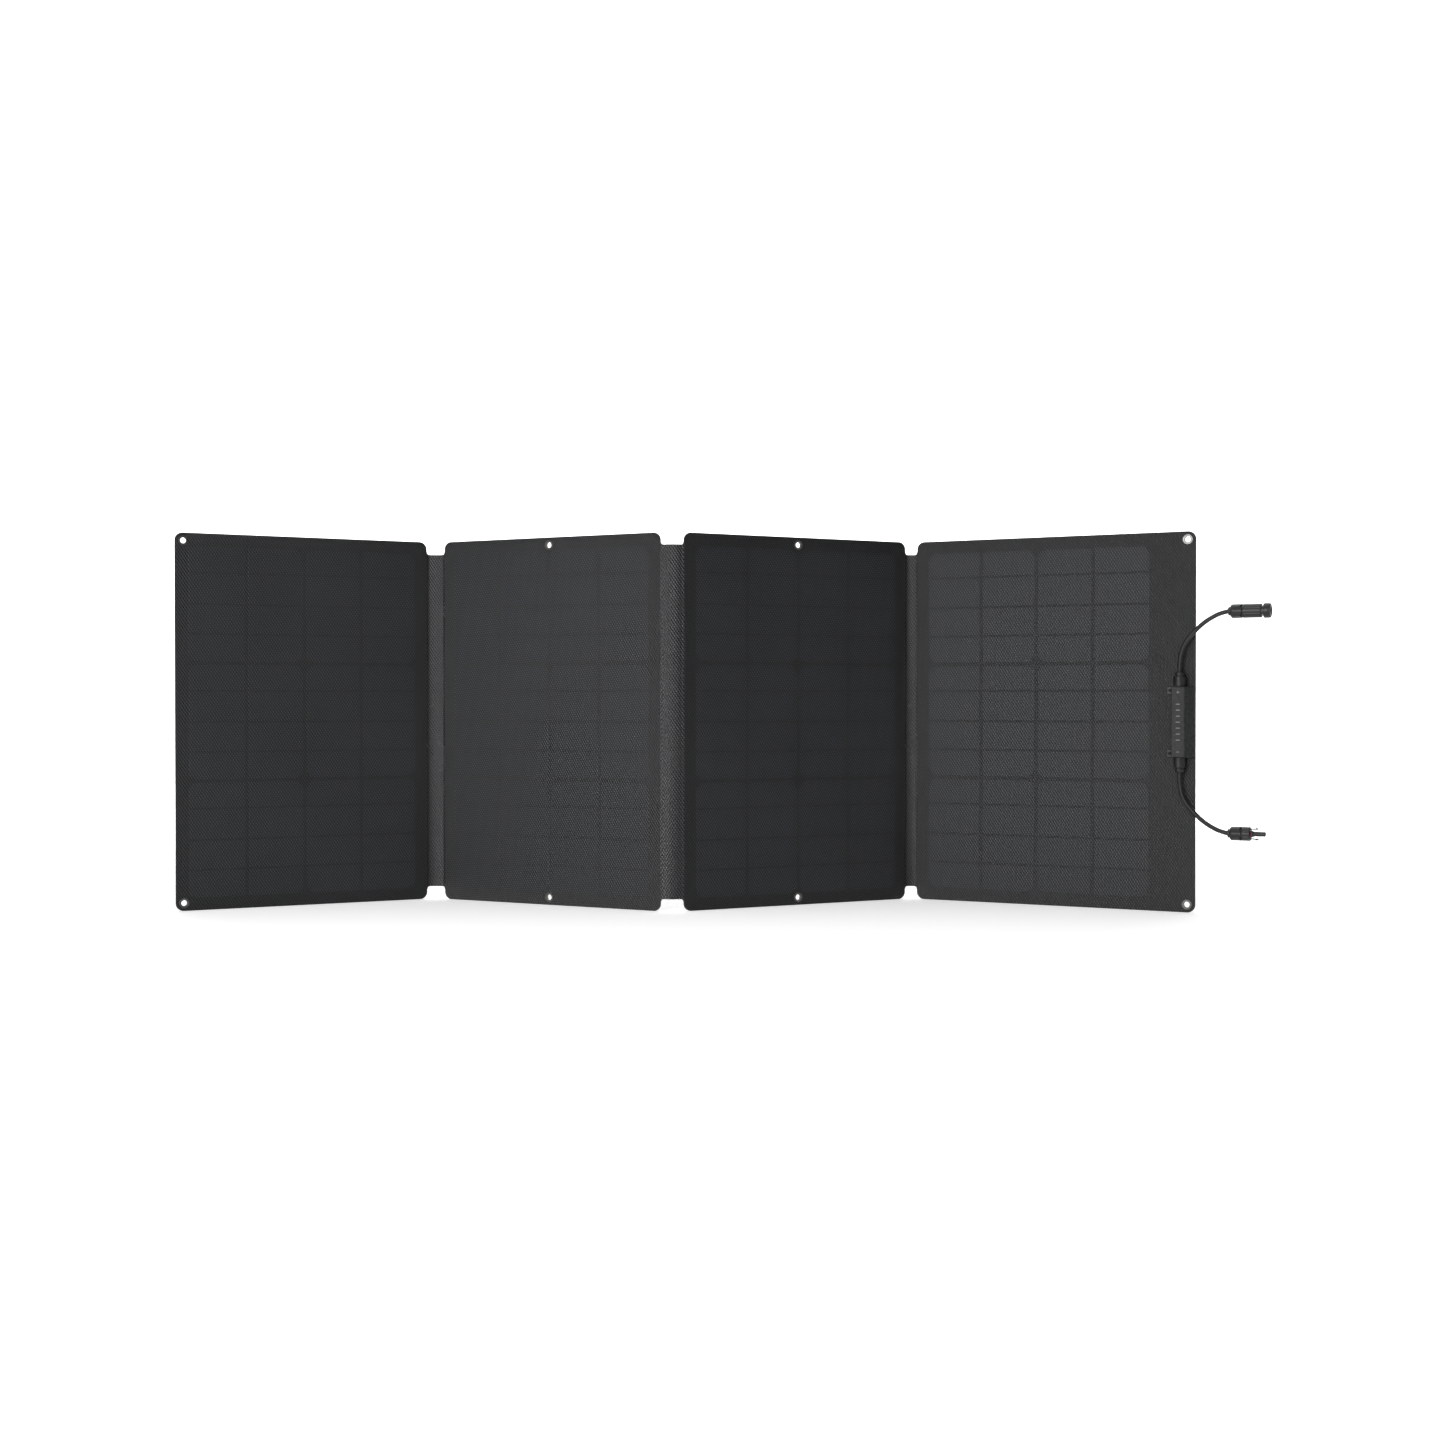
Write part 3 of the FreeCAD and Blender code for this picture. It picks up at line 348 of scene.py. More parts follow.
# %% The finish class
class Finish:
    """A material that is built up effect by effect."""

    def __init__(self, name, colour, roughness, metallic=0.0, specular=0.5, place="Object"):
        self.material = bpy.data.materials.new(name)
        self.material.use_nodes = True
        self.tree = self.material.node_tree
        self.shader = self.tree.nodes["Principled BSDF"]
        self.shader.inputs["Metallic"].default_value = metallic
        self.shader.inputs["Specular IOR Level"].default_value = specular
        self.shader.inputs["Base Color"].default_value = (*linear(colour), 1)
        self.shader.inputs["Roughness"].default_value = roughness
        self.material.diffuse_color = (*linear(colour), 1)
        coordinates = self.tree.nodes.new("ShaderNodeTexCoord")
        self.place = coordinates.outputs[place]
        self.colour, self.base = None, linear(colour)
        self.gloss, self.roughness = None, roughness
        self.height = None

    def add(self, group, place_input="Place", **numbers):
        node = self.tree.nodes.new("ShaderNodeGroup")
        node.node_tree = group
        self.tree.links.new(self.place, node.inputs[place_input])
        for label, number in numbers.items():
            node.inputs[label.replace("_", " ")].default_value = number
        return node

    def tint(self, mask, colour, share=1.0):
        """Moves the colour towards another one where the mask is high."""
        mix = self.tree.nodes.new("ShaderNodeMix")
        mix.data_type = "RGBA"
        if self.colour is None:
            mix.inputs["A"].default_value = (*self.base, 1)
        else:
            self.tree.links.new(self.colour, mix.inputs["A"])
        mix.inputs["B"].default_value = (*linear(colour), 1)
        self.tree.links.new(sums(self.tree, "MULTIPLY", mask, share), mix.inputs["Factor"])
        self.colour = mix.outputs["Result"]
        self.tree.links.new(self.colour, self.shader.inputs["Base Color"])
        return self

    def dull(self, mask, amount):
        """Adds to the roughness where the mask is high."""
        before = self.roughness if self.gloss is None else self.gloss
        self.gloss = sums(self.tree, "ADD", before, sums(self.tree, "MULTIPLY", mask, amount))
        self.tree.links.new(self.gloss, self.shader.inputs["Roughness"])
        return self

    def raise_by(self, height, distance, strength=1.0):
        """A bump of this real height, on top of any bump before it."""
        bump = self.tree.nodes.new("ShaderNodeBump")
        bump.inputs["Distance"].default_value = distance
        bump.inputs["Strength"].default_value = strength
        self.tree.links.new(height, bump.inputs["Height"])
        if self.height is not None:
            self.tree.links.new(self.height, bump.inputs["Normal"])
        self.height = bump.outputs["Normal"]
        self.tree.links.new(self.height, self.shader.inputs["Normal"])
        return self


# %% [markdown]
# The film is matt fluoropolymer. Over a cell it looks greyer, because the silicon's blue-black shows
# through it; over the black carrier round the cells it is darker. Both share one emboss, so the
# twill runs on across the edge of a cell, as it does on a film pressed in one piece. The emboss's
# crests are tinted paler, a painted highlight for the light that the domes catch.

# %% Film and cloth finishes
def film_finish(name, colour, painted_crest_sheen, share, roughness, specular=0.33, height=0.4 * MM):
    finish = Finish(name, colour, roughness, specular=specular, place="UV")
    pattern = finish.add(twill, "Sheet place", Cross_strength=0.6)
    patches = finish.add(clouding, Scale=7.0)
    # Painted highlight: the emboss's crests are tinted paler, for the light that the domes catch.
    finish.tint(pattern.outputs["Crest"], painted_crest_sheen, share)
    finish.tint(patches.outputs["Mask"], "55585a", 0.035)
    finish.dull(patches.outputs["Mask"], 0.05)
    finish.dull(pattern.outputs["Crest"], -0.08)
    finish.raise_by(pattern.outputs["Height"], height)
    return finish.material


def cloth_finish(name, colour, painted_crest_sheen, yarns):
    finish = Finish(name, colour, 0.78, specular=0.3, place="UV")
    finish.shader.inputs["Sheen Weight"].default_value = 0.25
    finish.shader.inputs["Sheen Roughness"].default_value = 0.45
    pattern = finish.add(weave, "Sheet place", Yarns_per_metre=yarns)
    patches = finish.add(clouding, Scale=9.0)
    # Painted sheen: the yarn crests are tinted paler, for the light that they catch.
    finish.tint(pattern.outputs["Crest"], painted_crest_sheen, 0.6)
    finish.tint(patches.outputs["Mask"], "3b3d3f", 0.12)
    finish.raise_by(pattern.outputs["Height"], 0.3 * MM, 0.7)
    return finish.material


film_over_cells = film_finish("film_over_cells", "101214", "44474a", 0.7, 0.4, 0.28)
film_over_board = film_finish("film_over_board", "010202", "34373a", 0.4, 0.36, 0.36, 0.6 * MM)
# The same film as on the panels, with its crests painted paler still: a painted highlight for the
# bright lines along the bent hinges.
hinge_film_painted_sheen = film_finish("hinge_film_painted_sheen", "010202", "4b4e51", 0.45, 0.24, 0.45, 0.6 * MM)
back_cloth = cloth_finish("back_cloth", "131415", "2f3133", 900.0)

# %% [markdown]
# The moulded parts differ in gloss: the box is a coarse matt grain, the glands and connectors are
# finer and a little shinier, and rubber is smooth but dull. Metal parts get their plated look from a
# fine noise grain and patches of tarnish. Hidden pieces get a real finish too, since the sheet may be
# taken apart.

# %% Moulded, rubber and metal finishes
def moulded_finish(name, colour, roughness, scale, worn, height=0.03 * MM, specular=0.5):
    finish = Finish(name, colour, roughness, specular=specular)
    texture = finish.add(grain, Scale=scale)
    edges = finish.add(wear, Amount=worn)
    patches = finish.add(clouding, Scale=30.0)
    finish.tint(patches.outputs["Mask"], "3c3e40", 0.08)
    finish.tint(edges.outputs["Mask"], "8a8c8d")
    finish.dull(patches.outputs["Mask"], 0.07)
    finish.raise_by(texture.outputs["Height"], height, 0.6)
    return finish.material


def metal_finish(name, colour, roughness, tarnish, share=0.35):
    finish = Finish(name, colour, roughness, metallic=1.0)
    texture = finish.add(grain, Scale=1500.0)
    patches = finish.add(clouding, Scale=90.0)
    finish.tint(patches.outputs["Mask"], tarnish, share)
    finish.dull(patches.outputs["Mask"], 0.15)
    finish.raise_by(texture.outputs["Height"], 0.01 * MM, 0.4)
    return finish.material


finishes = {
    "encapsulant": moulded_finish("encapsulant_sheet", "1b1d1f", 0.35, 900.0, 0.0),
    "silicon_cell": moulded_finish("silicon", "0c1018", 0.22, 500.0, 0.1),
    "backing_board": moulded_finish("fibre_board", "202224", 0.6, 400.0, 0.1, 0.08 * MM),
    "black_plastic": moulded_finish("box_plastic", "0d0e0f", 0.5, 1900.0, 0.2, specular=0.33),
    "gland_plastic": moulded_finish("gland_plastic", "111213", 0.42, 3000.0, 0.25, specular=0.38),
    "connector_plastic": moulded_finish("connector_plastic", "111213", 0.38, 3200.0, 0.3, specular=0.4),
    "black_rubber": moulded_finish("black_rubber", "0f1011", 0.65, 2400.0, 0.0),
    "cable_jacket": moulded_finish("cable_jacket", "0e0f10", 0.45, 3600.0, 0.0, specular=0.38),
    "red_rubber": moulded_finish("red_rubber", "6e3140", 0.5, 2400.0, 0.0),
    "adhesive": moulded_finish("foam_adhesive", "101112", 0.8, 1200.0, 0.0),
    "diode_epoxy": moulded_finish("diode_epoxy", "0b0b0c", 0.35, 1800.0, 0.2),
    "print_ink": moulded_finish("print_ink", "6f7274", 0.55, 2600.0, 0.0, 0.005 * MM),
    "tinned_copper": metal_finish("tinned_copper", "b9bab8", 0.32, "8d8c88"),
    "nickel_brass": metal_finish("nickel_plate", "605f5d", 0.24, "3f3e3c", 0.5),
    "brass": metal_finish("brass", "c39a4e", 0.28, "7d6434"),
    "black_fabric": back_cloth,
    "embossed_film": film_over_board,
}
for part in frame["record"]["subparts"]:
    mesh = frame["nodes"][part["node"]].data
    mesh.materials.clear()
    mesh.materials.append(finishes[part["material_slot"]])
print(len(finishes), "finishes, laid on", len(frame["nodes"]), "nodes of the frame")

# %% [markdown]
# Most added pieces are either a flat skin with a relief, a row of outlines joined into a tube, or a
# profile turned about an axis. One helper makes the mesh, smooths it except at its real edges, and
# gives it a place on the sheet as its texture coordinate, so a pattern runs on unbroken.

# %% Mesh helpers
EDGE_ANGLE = math.radians(32)


def piece_from(name, points, faces, finish, places=None, finish_of=None, flat=0):
    """A mesh object whose first faces, as many as flat says, are not smoothed.

    places gives each point's place on the sheet, for the patterned finishes.
    """
    mesh = bpy.data.meshes.new(name)
    mesh.from_pydata([tuple(p) for p in points], [], faces)
    for material in finish if isinstance(finish, (list, tuple)) else [finish]:
        mesh.materials.append(material)
    if places is not None:
        layer = mesh.uv_layers.new(name="sheet_place")
        corners = np.array([places[c.vertex_index] for c in mesh.loops], np.float32)
        layer.data.foreach_set("uv", corners.ravel())
    if finish_of is not None:
        mesh.polygons.foreach_set("material_index", finish_of)
    mesh.shade_smooth()
    mesh.set_sharp_from_angle(angle=EDGE_ANGLE)
    for polygon in mesh.polygons[:flat]:
        polygon.use_smooth = False
    mesh.update()
    piece = bpy.data.objects.new(name, mesh)
    bpy.context.scene.collection.objects.link(piece)
    return piece


def even_shading(piece):
    """Large flat faces keep their own direction beside small rounded edges."""
    weighting = piece.modifiers.new("even_shading", "WEIGHTED_NORMAL")
    weighting.keep_sharp = True
    return piece


def rounded_loop(corners, steps=7):
    """A convex outline, anticlockwise, from (x, y, corner radius) at each corner."""
    loop = []
    for n, (x, y, radius) in enumerate(corners):
        here = Vector((x, y))
        before = (Vector(corners[n - 1][:2]) - here).normalized()
        after = (Vector(corners[(n + 1) % len(corners)][:2]) - here).normalized()
        half = before.angle(after) / 2
        if radius <= 0:
            loop.append(here)
            continue
        centre = here + (before + after).normalized() * (radius / math.sin(half))
        start = here + before * (radius / math.tan(half)) - centre
        sweep = math.pi - 2 * half
        for step in range(steps + 1):
            loop.append(centre + Matrix.Rotation(sweep * step / steps, 2) @ start)
    return loop


def ring_loop(x, z, radius, count=40):
    turn = 2 * math.pi / count
    return [Vector((x + radius * math.cos(turn * n), z + radius * math.sin(turn * n)))
            for n in range(count)]


def inset_loop(loop, distance):
    """The same outline, moved inwards all round."""
    moved = []
    for n, here in enumerate(loop):
        before = (here - loop[n - 1]).normalized()
        after = (loop[(n + 1) % len(loop)] - here).normalized()
        inwards = Vector((-before.y - after.y, before.x + after.x)).normalized()
        share = max(0.5, inwards.dot(Vector((-before.y, before.x))))
        moved.append(here + inwards * (distance / share))
    return moved


def tube_faces(rows, count, closed=False, first=0):
    """Quads between rows of points that each hold the same count of points."""
    faces = []
    for row in range(rows if closed else rows - 1):
        here, there = first + row * count, first + (row + 1) % rows * count
        faces += [(here + n, here + (n + 1) % count, there + (n + 1) % count, there + n)
                  for n in range(count)]
    return faces


# %% [markdown]
# The film is one thin skin, drawn down tightly over the cells: each strip stands a hair proud of the
# film around it and has a soft edge. Constrained triangulation fills the outline and keeps every
# strip's outline as an edge, so the strips get their own finish and their own height without a cut.

# %% Film over a panel
CORNER_RADIUS = 10.5 * MM
EYELET_HOLE = 4.4 * MM
CELL_RISE = 0.16 * MM
CELL_EDGE = 0.5 * MM        # how wide the film's slope is, round each strip
RIM_ROUNDING = ((0.7, 0.0), (0.25, -0.12), (0.05, -0.4), (0.0, -0.8))   # mm: inset, proud


def eyelet_centres(name):
    """(x, z) of a panel's two eyelets, from the frame."""
    axes = axes_of[name]
    flat = np.array([axes.flat(p) for p in node_points(f"{name}_eyelets")])
    halves = (flat[flat[:, 1] < axes.height / 2], flat[flat[:, 1] > axes.height / 2])
    return [tuple((half.min(0) + half.max(0))[:2] / 2) for half in halves]


def strip_outlines(name):
    """The outline of every cell strip, in the panel's flat axes."""
    mesh, axes = frame["nodes"][f"{name}_cells"].data, axes_of[name]
    following = {}
    for face in mesh.polygons:
        if face.normal.dot(axes.front) < 0.99:
            continue
        corners = [axes.flat(mesh.vertices[v].co) for v in face.vertices]
        keys = [(round(x, 5), round(z, 5)) for x, z, _ in corners]
        for a, b in zip(keys, keys[1:] + keys[:1]):
            if following.get(b) and a in following[b]:
                following[b].remove(a)
            else:
                following.setdefault(a, []).append(b)
    loops = []
    while any(following.values()):
        start = next(key for key, ends in following.items() if ends)
        loop, here = [], start
        while following.get(here):
            loop.append(Vector(here))
            here = following[here].pop()
        loops.append(loop)
    return loops


def panel_loop(axes, inset=0.0):
    w, h, r = axes.width - inset, axes.height - inset, CORNER_RADIUS - inset
    return rounded_loop([(w, inset, r), (w, h, r), (inset, h, r), (inset, inset, r)])


def skin(name, axes, levels, holes, rings, depth, finish, side=1):
    """A flat skin with a relief and a turned-down rim.

    levels are (outline, proud, has the second finish), rings are the rim's (inset, proud) in mm,
    depth is where its wall ends, and side is 1 for a front skin and -1 for a back one.
    """
    outline = panel_loop(axes, rings[0][0] * MM)
    groups = [(outline, 0.0, False)] + [(h, 0.0, False) for h in holes] + levels
    flat, edges, loops, height = [], [], [], []
    for loop, proud, _ in groups:
        first = len(flat)
        flat += loop
        height += [proud] * len(loop)
        loops.append([first + n for n in range(len(loop))])
        edges += [(first + n, first + (n + 1) % len(loop)) for n in range(len(loop))]
    found, _, faces, from_points, _, from_faces = delaunay_2d_cdt(flat, edges, loops, 1, 1e-7)
    hole_ids = set(range(1, 1 + len(holes)))
    second = {n for n, (_, _, own) in enumerate(groups) if own}
    places = [tuple(p) for p in found]
    proud = [height[ids[0]] if ids else 0.0 for ids in from_points]
    kept = [(f, ids) for f, ids in zip(faces, from_faces) if not hole_ids & set(ids)]
    shown = [tuple(f) if side > 0 else tuple(reversed(f)) for f, _ in kept]
    own = [1 if second & set(ids) else 0 for _, ids in kept]
    rims = [([panel_loop(axes, inset * MM) for inset, _ in rings] + [panel_loop(axes)],
             [p * MM for _, p in rings] + [-depth])]
    rims += [([hole, hole], [0.0, -depth]) for hole in holes]
    for n, (stack, heights) in enumerate(rims):
        first, count = len(places), len(stack[0])
        for loop, level in zip(stack, heights):
            places += [tuple(p) for p in loop]
            proud += [level] * count
        walls = tube_faces(len(stack), count, first=first)
        outwards = (n == 0) == (side < 0)
        shown += walls if outwards else [tuple(reversed(w)) for w in walls]
        own += [0] * len(walls)
    base = 0.0 if side > 0 else -axes.back
    points = [axes.at(x, z, base + side * p) for (x, z), p in zip(places, proud)]
    return piece_from(name, points, shown, finish, places, own, flat=len(kept))


def film_skin(name):
    axes = axes_of[name]
    levels = []
    for loop in strip_outlines(name):
        levels.append((loop, 0.0, True))
        levels.append((inset_loop(loop, CELL_EDGE), CELL_RISE, True))
    holes = [ring_loop(x, z, EYELET_HOLE) for x, z in eyelet_centres(name)]
    piece = skin(f"{name}_film", axes, levels, holes, RIM_ROUNDING, axes.rim,
                 [film_over_board, film_over_cells])
    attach(piece, name)
    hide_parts(f"{name}_front_film")
    return piece, len(levels) // 2


for name in PANELS:
    piece, strips = film_skin(name)
    print(piece.name, strips, "strips,", len(piece.data.polygons), "faces")

# %% [markdown]
# Behind, a coated cloth covers the board and is pressed to the film all round. The press leaves a
# shallow line a few millimetres in from the edge. It is modelled as two outlines close together, with
# a lower one between them, so that it catches the light from any side.

# %% Cloth on the back
PRESS_LINE = ((5.0, 0.0), (5.5, -0.16), (7.0, -0.16), (7.5, 0.0))      # mm: inset, proud
CLOTH_ROUNDING = ((0.6, 0.0), (0.2, -0.1), (0.0, -0.35))


def cloth_skin(name):
    axes = axes_of[name]
    levels = [(panel_loop(axes, inset * MM), proud * MM, False) for inset, proud in PRESS_LINE]
    holes = [ring_loop(x, z, EYELET_HOLE) for x, z in eyelet_centres(name)]
    piece = skin(f"{name}_cloth", axes, levels, holes, CLOTH_ROUNDING, axes.back - axes.rim,
                 back_cloth, side=-1)
    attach(piece, name)
    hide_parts(f"{name}_rear_fabric")
    return piece


for name in PANELS:
    print(cloth_skin(name).name)

# %% [markdown]
# Between two panels there is no board, only film and cloth, so the sheet bends there in one smooth
# arc. The arc touches both panels' middles, and its centre is where the two panels' normals cross.
# The strip is drawn along that arc.

# %% Soft hinges
HINGE_COLUMNS = 30
HINGE_ROWS = 60
NOTCH_FILLET = 4.0 * MM     # where a hinge's end runs into a panel's side
RAMP = 3.5 * MM             # over this width the film comes down from a panel's face to the hinge
HINGE_FACE = 0.75 * MM      # from the hinge's middle to its film's face
HINGE_PARTING = 0.4 * MM    # and to the seam between its film and its cloth
RIBBON_FACES = (0.3 * MM, 0.4 * MM)
PUCKER = 0.12 * MM
PUCKER_WAVES = (9.0, 23.0)  # per metre of height


def smooth(x):
    x = min(1.0, max(0.0, x))
    return x * x * (3 - 2 * x)


def hinge_arc(number):
    """The arc that a hinge follows in plan: where, how wide, and a function along it."""
    a, b = axes_of[PANELS[number]], axes_of[PANELS[number + 1]]
    start, end = a.at(a.width, 0, -a.back / 2), b.at(0, 0, -b.back / 2)
    gap = end - start
    across = a.front.x * b.front.y - a.front.y * b.front.x
    centre = start + a.front * ((gap.x * b.front.y - gap.y * b.front.x) / across)
    turn = math.asin(a.across.cross(b.across).z)

    def at(share, z, proud):
        spoke = start - centre + a.front * proud
        return centre + Matrix.Rotation(turn * share, 3, "Z") @ spoke + UP * z

    return SimpleNamespace(at=at, start=start, end=end, bodies=PANELS[number:number + 2],
                           width=(start - centre).length * abs(turn), edge=a.back / 2)


def bent_strip(name, arc, z0, z1, front, back, finish, edge_front=None, edge_back=None):
    """A closed strip along a hinge's arc; edge_front and edge_back are its faces at the panels."""
    fillet = NOTCH_FILLET if edge_front is not None or edge_back is not None else 0.0
    columns, rows = HINGE_COLUMNS, HINGE_ROWS if z1 - z0 > 0.1 else 4
    grids = []
    for face, edge in ((front, edge_front), (back, edge_back)):
        grid = []
        for row in range(rows + 1):
            for column in range(columns + 1):
                share = column / columns
                side = min(share, 1 - share) * arc.width
                lift = 0.0
                if side < fillet:
                    lift = fillet - math.sqrt(fillet ** 2 - (fillet - side) ** 2)
                low, high = z0 - lift, z1 + lift
                z = low + (high - low) * row / rows
                away = smooth(side / RAMP)
                waves = sum(math.sin(2 * math.pi * w * z + w) for w in PUCKER_WAVES)
                pucker = PUCKER * away * waves / len(PUCKER_WAVES)
                proud = face if edge is None else edge + (face + pucker - edge) * away
                grid.append((share, z, proud))
        grids.append(grid)
    flat = grids[0] + grids[1]
    stride, half = columns + 1, len(grids[0])
    faces = []
    for row in range(rows):
        for column in range(columns):
            a = row * stride + column
            quad = (a, a + 1, a + stride + 1, a + stride)
            faces += [quad, tuple(half + n for n in reversed(quad))]
    bottom = list(range(stride))
    right = [row * stride + columns for row in range(rows + 1)]
    top = [rows * stride + n for n in reversed(bottom)]
    left = [row * stride for row in reversed(range(rows + 1))]
    for side in (bottom, right, top, left):
        faces += [(b, a, half + a, half + b) for a, b in zip(side, side[1:])]
    points = [arc.at(*place) for place in flat]
    places = [(share * arc.width, z) for share, z, _ in flat]
    piece = piece_from(name, points, faces, finish, places)
    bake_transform(piece)
    return piece


for number, hinge in enumerate(HINGES):
    arc = hinge_arc(number)
    z0, z1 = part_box(f"{hinge}_film")[0].z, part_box(f"{hinge}_film")[1].z
    film = bent_strip(f"{hinge}_front", arc, z0, z1, HINGE_FACE, HINGE_PARTING, hinge_film_painted_sheen,
                      edge_front=arc.edge)
    cloth = bent_strip(f"{hinge}_back", arc, z0, z1, HINGE_PARTING, -HINGE_FACE, back_cloth,
                       edge_back=-arc.edge)
    for piece, part, slot in ((film, "film", "embossed_film"), (cloth, "fabric", "black_fabric")):
        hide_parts(f"{hinge}_{part}")
    heights = node_points(f"{hinge}_conductors")[:, 2]
    middle_height = (heights.min() + heights.max()) / 2
    for word, own in (("lower", heights[heights < middle_height]),
                      ("upper", heights[heights > middle_height])):
        ribbon = bent_strip(f"{hinge}_ribbon_{word}", arc, own.min(), own.max(),
                            RIBBON_FACES[1], RIBBON_FACES[0], finishes["tinned_copper"])
        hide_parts(f"{hinge}_conductors")
    print(hinge, "flat width", round(arc.width, 4), "height", round(z1 - z0, 4))

# %% [markdown]
# An eyelet is one nickel-plated brass tube with a rolled flange, set through the sheet and splayed
# over a washer behind. A profile turned about the eyelet's axis is the way a lathe would make it, and
# every round part of this sheet can share the helper.

# %% Turned pieces
def turned_piece(name, parts, finish, shape=None, count=48):
    """Profiles of (distance along, radius) in mm, each turned about an axis.

    parts are (origin, axis, side, profile, closed); shape(along, radius, angle) may change a point,
    and angle 0 is at side.
    """
    points, faces = [], []
    for origin, axis, side, profile, closed in parts:
        first, other = len(points), axis.cross(side)
        for along, radius in profile:
            for n in range(count):
                angle = 2 * math.pi * n / count
                l, x, y = along, radius * math.cos(angle), radius * math.sin(angle)
                if shape is not None:
                    l, x, y = shape(along, radius, angle)
                points.append(origin + (axis * l + side * x + other * y) * MM)
        faces += tube_faces(len(profile), count, closed, first)
        if not closed:
            end = first + (len(profile) - 1) * count
            faces.append(tuple(reversed(range(first, first + count))))
            faces.append(tuple(range(end, end + count)))
    return even_shading(piece_from(name, points, faces, finish))


def arc_points(centre, radius, start, end, steps=6):
    """Points of an arc in a profile, between two angles in degrees."""
    angles = [math.radians(start + (end - start) * n / steps) for n in range(steps + 1)]
    return [(centre[0] + radius * math.cos(a), centre[1] + radius * math.sin(a)) for a in angles]


# %% [markdown]
# The flange on the film's side is a full roll. On the back the tube is splayed flat over its washer,
# which is the thinner ring.

# %% Eyelets
EYELET_BORE, EYELET_FLANGE, EYELET_PROUD = 3.9, 6.75, 0.6      # mm
BARREL_OUTSIDE, FLANGE_ROLL, BORE_ROUNDING = 4.35, 0.3, 0.55


def eyelet_rings(name):
    axes = axes_of[name]
    thickness = axes.back / MM
    section = [(0.0, BARREL_OUTSIDE), (0.0, EYELET_FLANGE - FLANGE_ROLL)]
    section += arc_points((FLANGE_ROLL, EYELET_FLANGE - FLANGE_ROLL), FLANGE_ROLL, 90, 0, 4)[1:]
    section += [(EYELET_PROUD, 5.6)]
    section += arc_points((EYELET_PROUD - BORE_ROUNDING, EYELET_BORE + BORE_ROUNDING),
                          BORE_ROUNDING, 0, -90, 5)
    section += [(-thickness - 0.2, EYELET_BORE)]
    section += arc_points((-thickness - 0.2, EYELET_BORE + 0.4), 0.4, 270, 180, 4)
    section += [(-thickness - 0.6, 4.9), (-thickness - 0.35, 5.0),
                (-thickness - 0.35, BARREL_OUTSIDE)]
    parts = [(axes.at(x, z), axes.front, axes.across, section[::-1], True)
             for x, z in eyelet_centres(name)]
    rings = turned_piece(f"{name}_eyelet_rings", parts, finishes["nickel_brass"])
    washer = [(-thickness, 4.4), (-thickness - 0.3, 4.4), (-thickness - 0.35, 5.6)]
    washer += [(-thickness - 0.3, EYELET_FLANGE - 0.3), (-thickness, EYELET_FLANGE)]
    parts = [(axes.at(x, z), axes.front, axes.across, washer, True)
             for x, z in eyelet_centres(name)]
    washers = turned_piece(f"{name}_washer_rings", parts, finishes["nickel_brass"])
    for piece, node in ((rings, "eyelets"), (washers, "eyelet_washers")):
        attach(piece, name)
        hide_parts(f"{name}_{node}")
    return rings


for name in PANELS:
    print(eyelet_rings(name).name)

# %% [markdown]
# The junction box's cover is a shallow moulding: a straight left wall, a flat face, a broad soft
# ridge and a long slope down to the sheet's edge. One cross-section carried along the box, with
# smaller copies of it at both ends, makes every edge round at once, as a mould does.

# %% Junction box cover and base
def flat_nodes(name):
    """A node's points in the last panel's axes, as columns: across, up, proud of the film."""
    return np.array([last.flat(p) for p in node_points(name)])


def carried(name, section, rows, finish):
    """A section of (across, proud) points carried up the last panel through (z, inset) rows."""
    points, faces, count = [], tube_faces(len(rows), len(section)), len(section)
    for z, inset in rows:
        loop = inset_loop(section, inset) if inset else section
        points += [last.at(x, z, proud) for x, proud in loop]
    end = (len(rows) - 1) * count
    faces += [tuple(reversed(range(count))), tuple(range(end, end + count))]
    faces = [tuple(reversed(face)) for face in faces]
    return even_shading(piece_from(name, points, faces, finish))


def soft_rows(z0, z1, radius, steps=4):
    """(z, inset) rows whose ends are rounded by this radius."""
    lower = [(z0 + radius * (1 - math.cos(math.pi / 2 * n / steps)),
              radius * (1 - math.sin(math.pi / 2 * n / steps))) for n in range(steps + 1)]
    upper = [(z0 + z1 - z, inset) for z, inset in reversed(lower)]
    return lower + upper


def on_box(piece, *nodes, slot="black_plastic"):
    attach(piece, "panel_4")
    if nodes:
        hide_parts(*nodes)
    return piece


cover = flat_nodes("junction_box_cover")
box_left, box_right = cover[:, 0].min(), cover[:, 0].max()
box_bottom, box_top = cover[:, 1].min(), cover[:, 1].max()
box_low, box_face = cover[:, 2].min(), cover[:, 2].max()
face_right = cover[cover[:, 2] > box_face - 0.05 * MM][:, 0].max()
RIDGE_RADIUS, WALL_RADIUS, END_RADIUS = 4.5 * MM, 1.2 * MM, 1.3 * MM
section = rounded_loop([(box_left, box_low, 0), (box_right, box_low, 0.3 * MM),
                        (face_right, box_face, RIDGE_RADIUS), (box_left, box_face, WALL_RADIUS)])
rows = soft_rows(box_bottom, box_top, END_RADIUS)
on_box(carried("box_cover", section, rows, finishes["black_plastic"]), "junction_box_cover")
print("cover", [round(v / MM, 1) for v in (box_left, box_right, box_bottom, box_top, box_face)])

base = flat_nodes("junction_box_base")
base_low, base_high = base[:, 2].min(), base[:, 2].max()
section = rounded_loop([(box_left, base_low, 0.3 * MM), (box_right, base_low, 0.3 * MM),
                        (box_right, base_high, 0.4 * MM), (box_left, base_high, 0.4 * MM)], 3)
rows = soft_rows(box_bottom, box_top, 0.5 * MM)
on_box(carried("box_base", section, rows, finishes["black_plastic"]), "junction_box_base")

# %% [markdown]
# Two lugs stand out from the base's left corners, where it is riveted down. Each is a rounded foot
# with a domed rivet on it, and only their outer halves show beside the cover.

# %% Lugs
LUG_HEIGHT = 10.0 * MM
lug_out = base[:, 0].min()


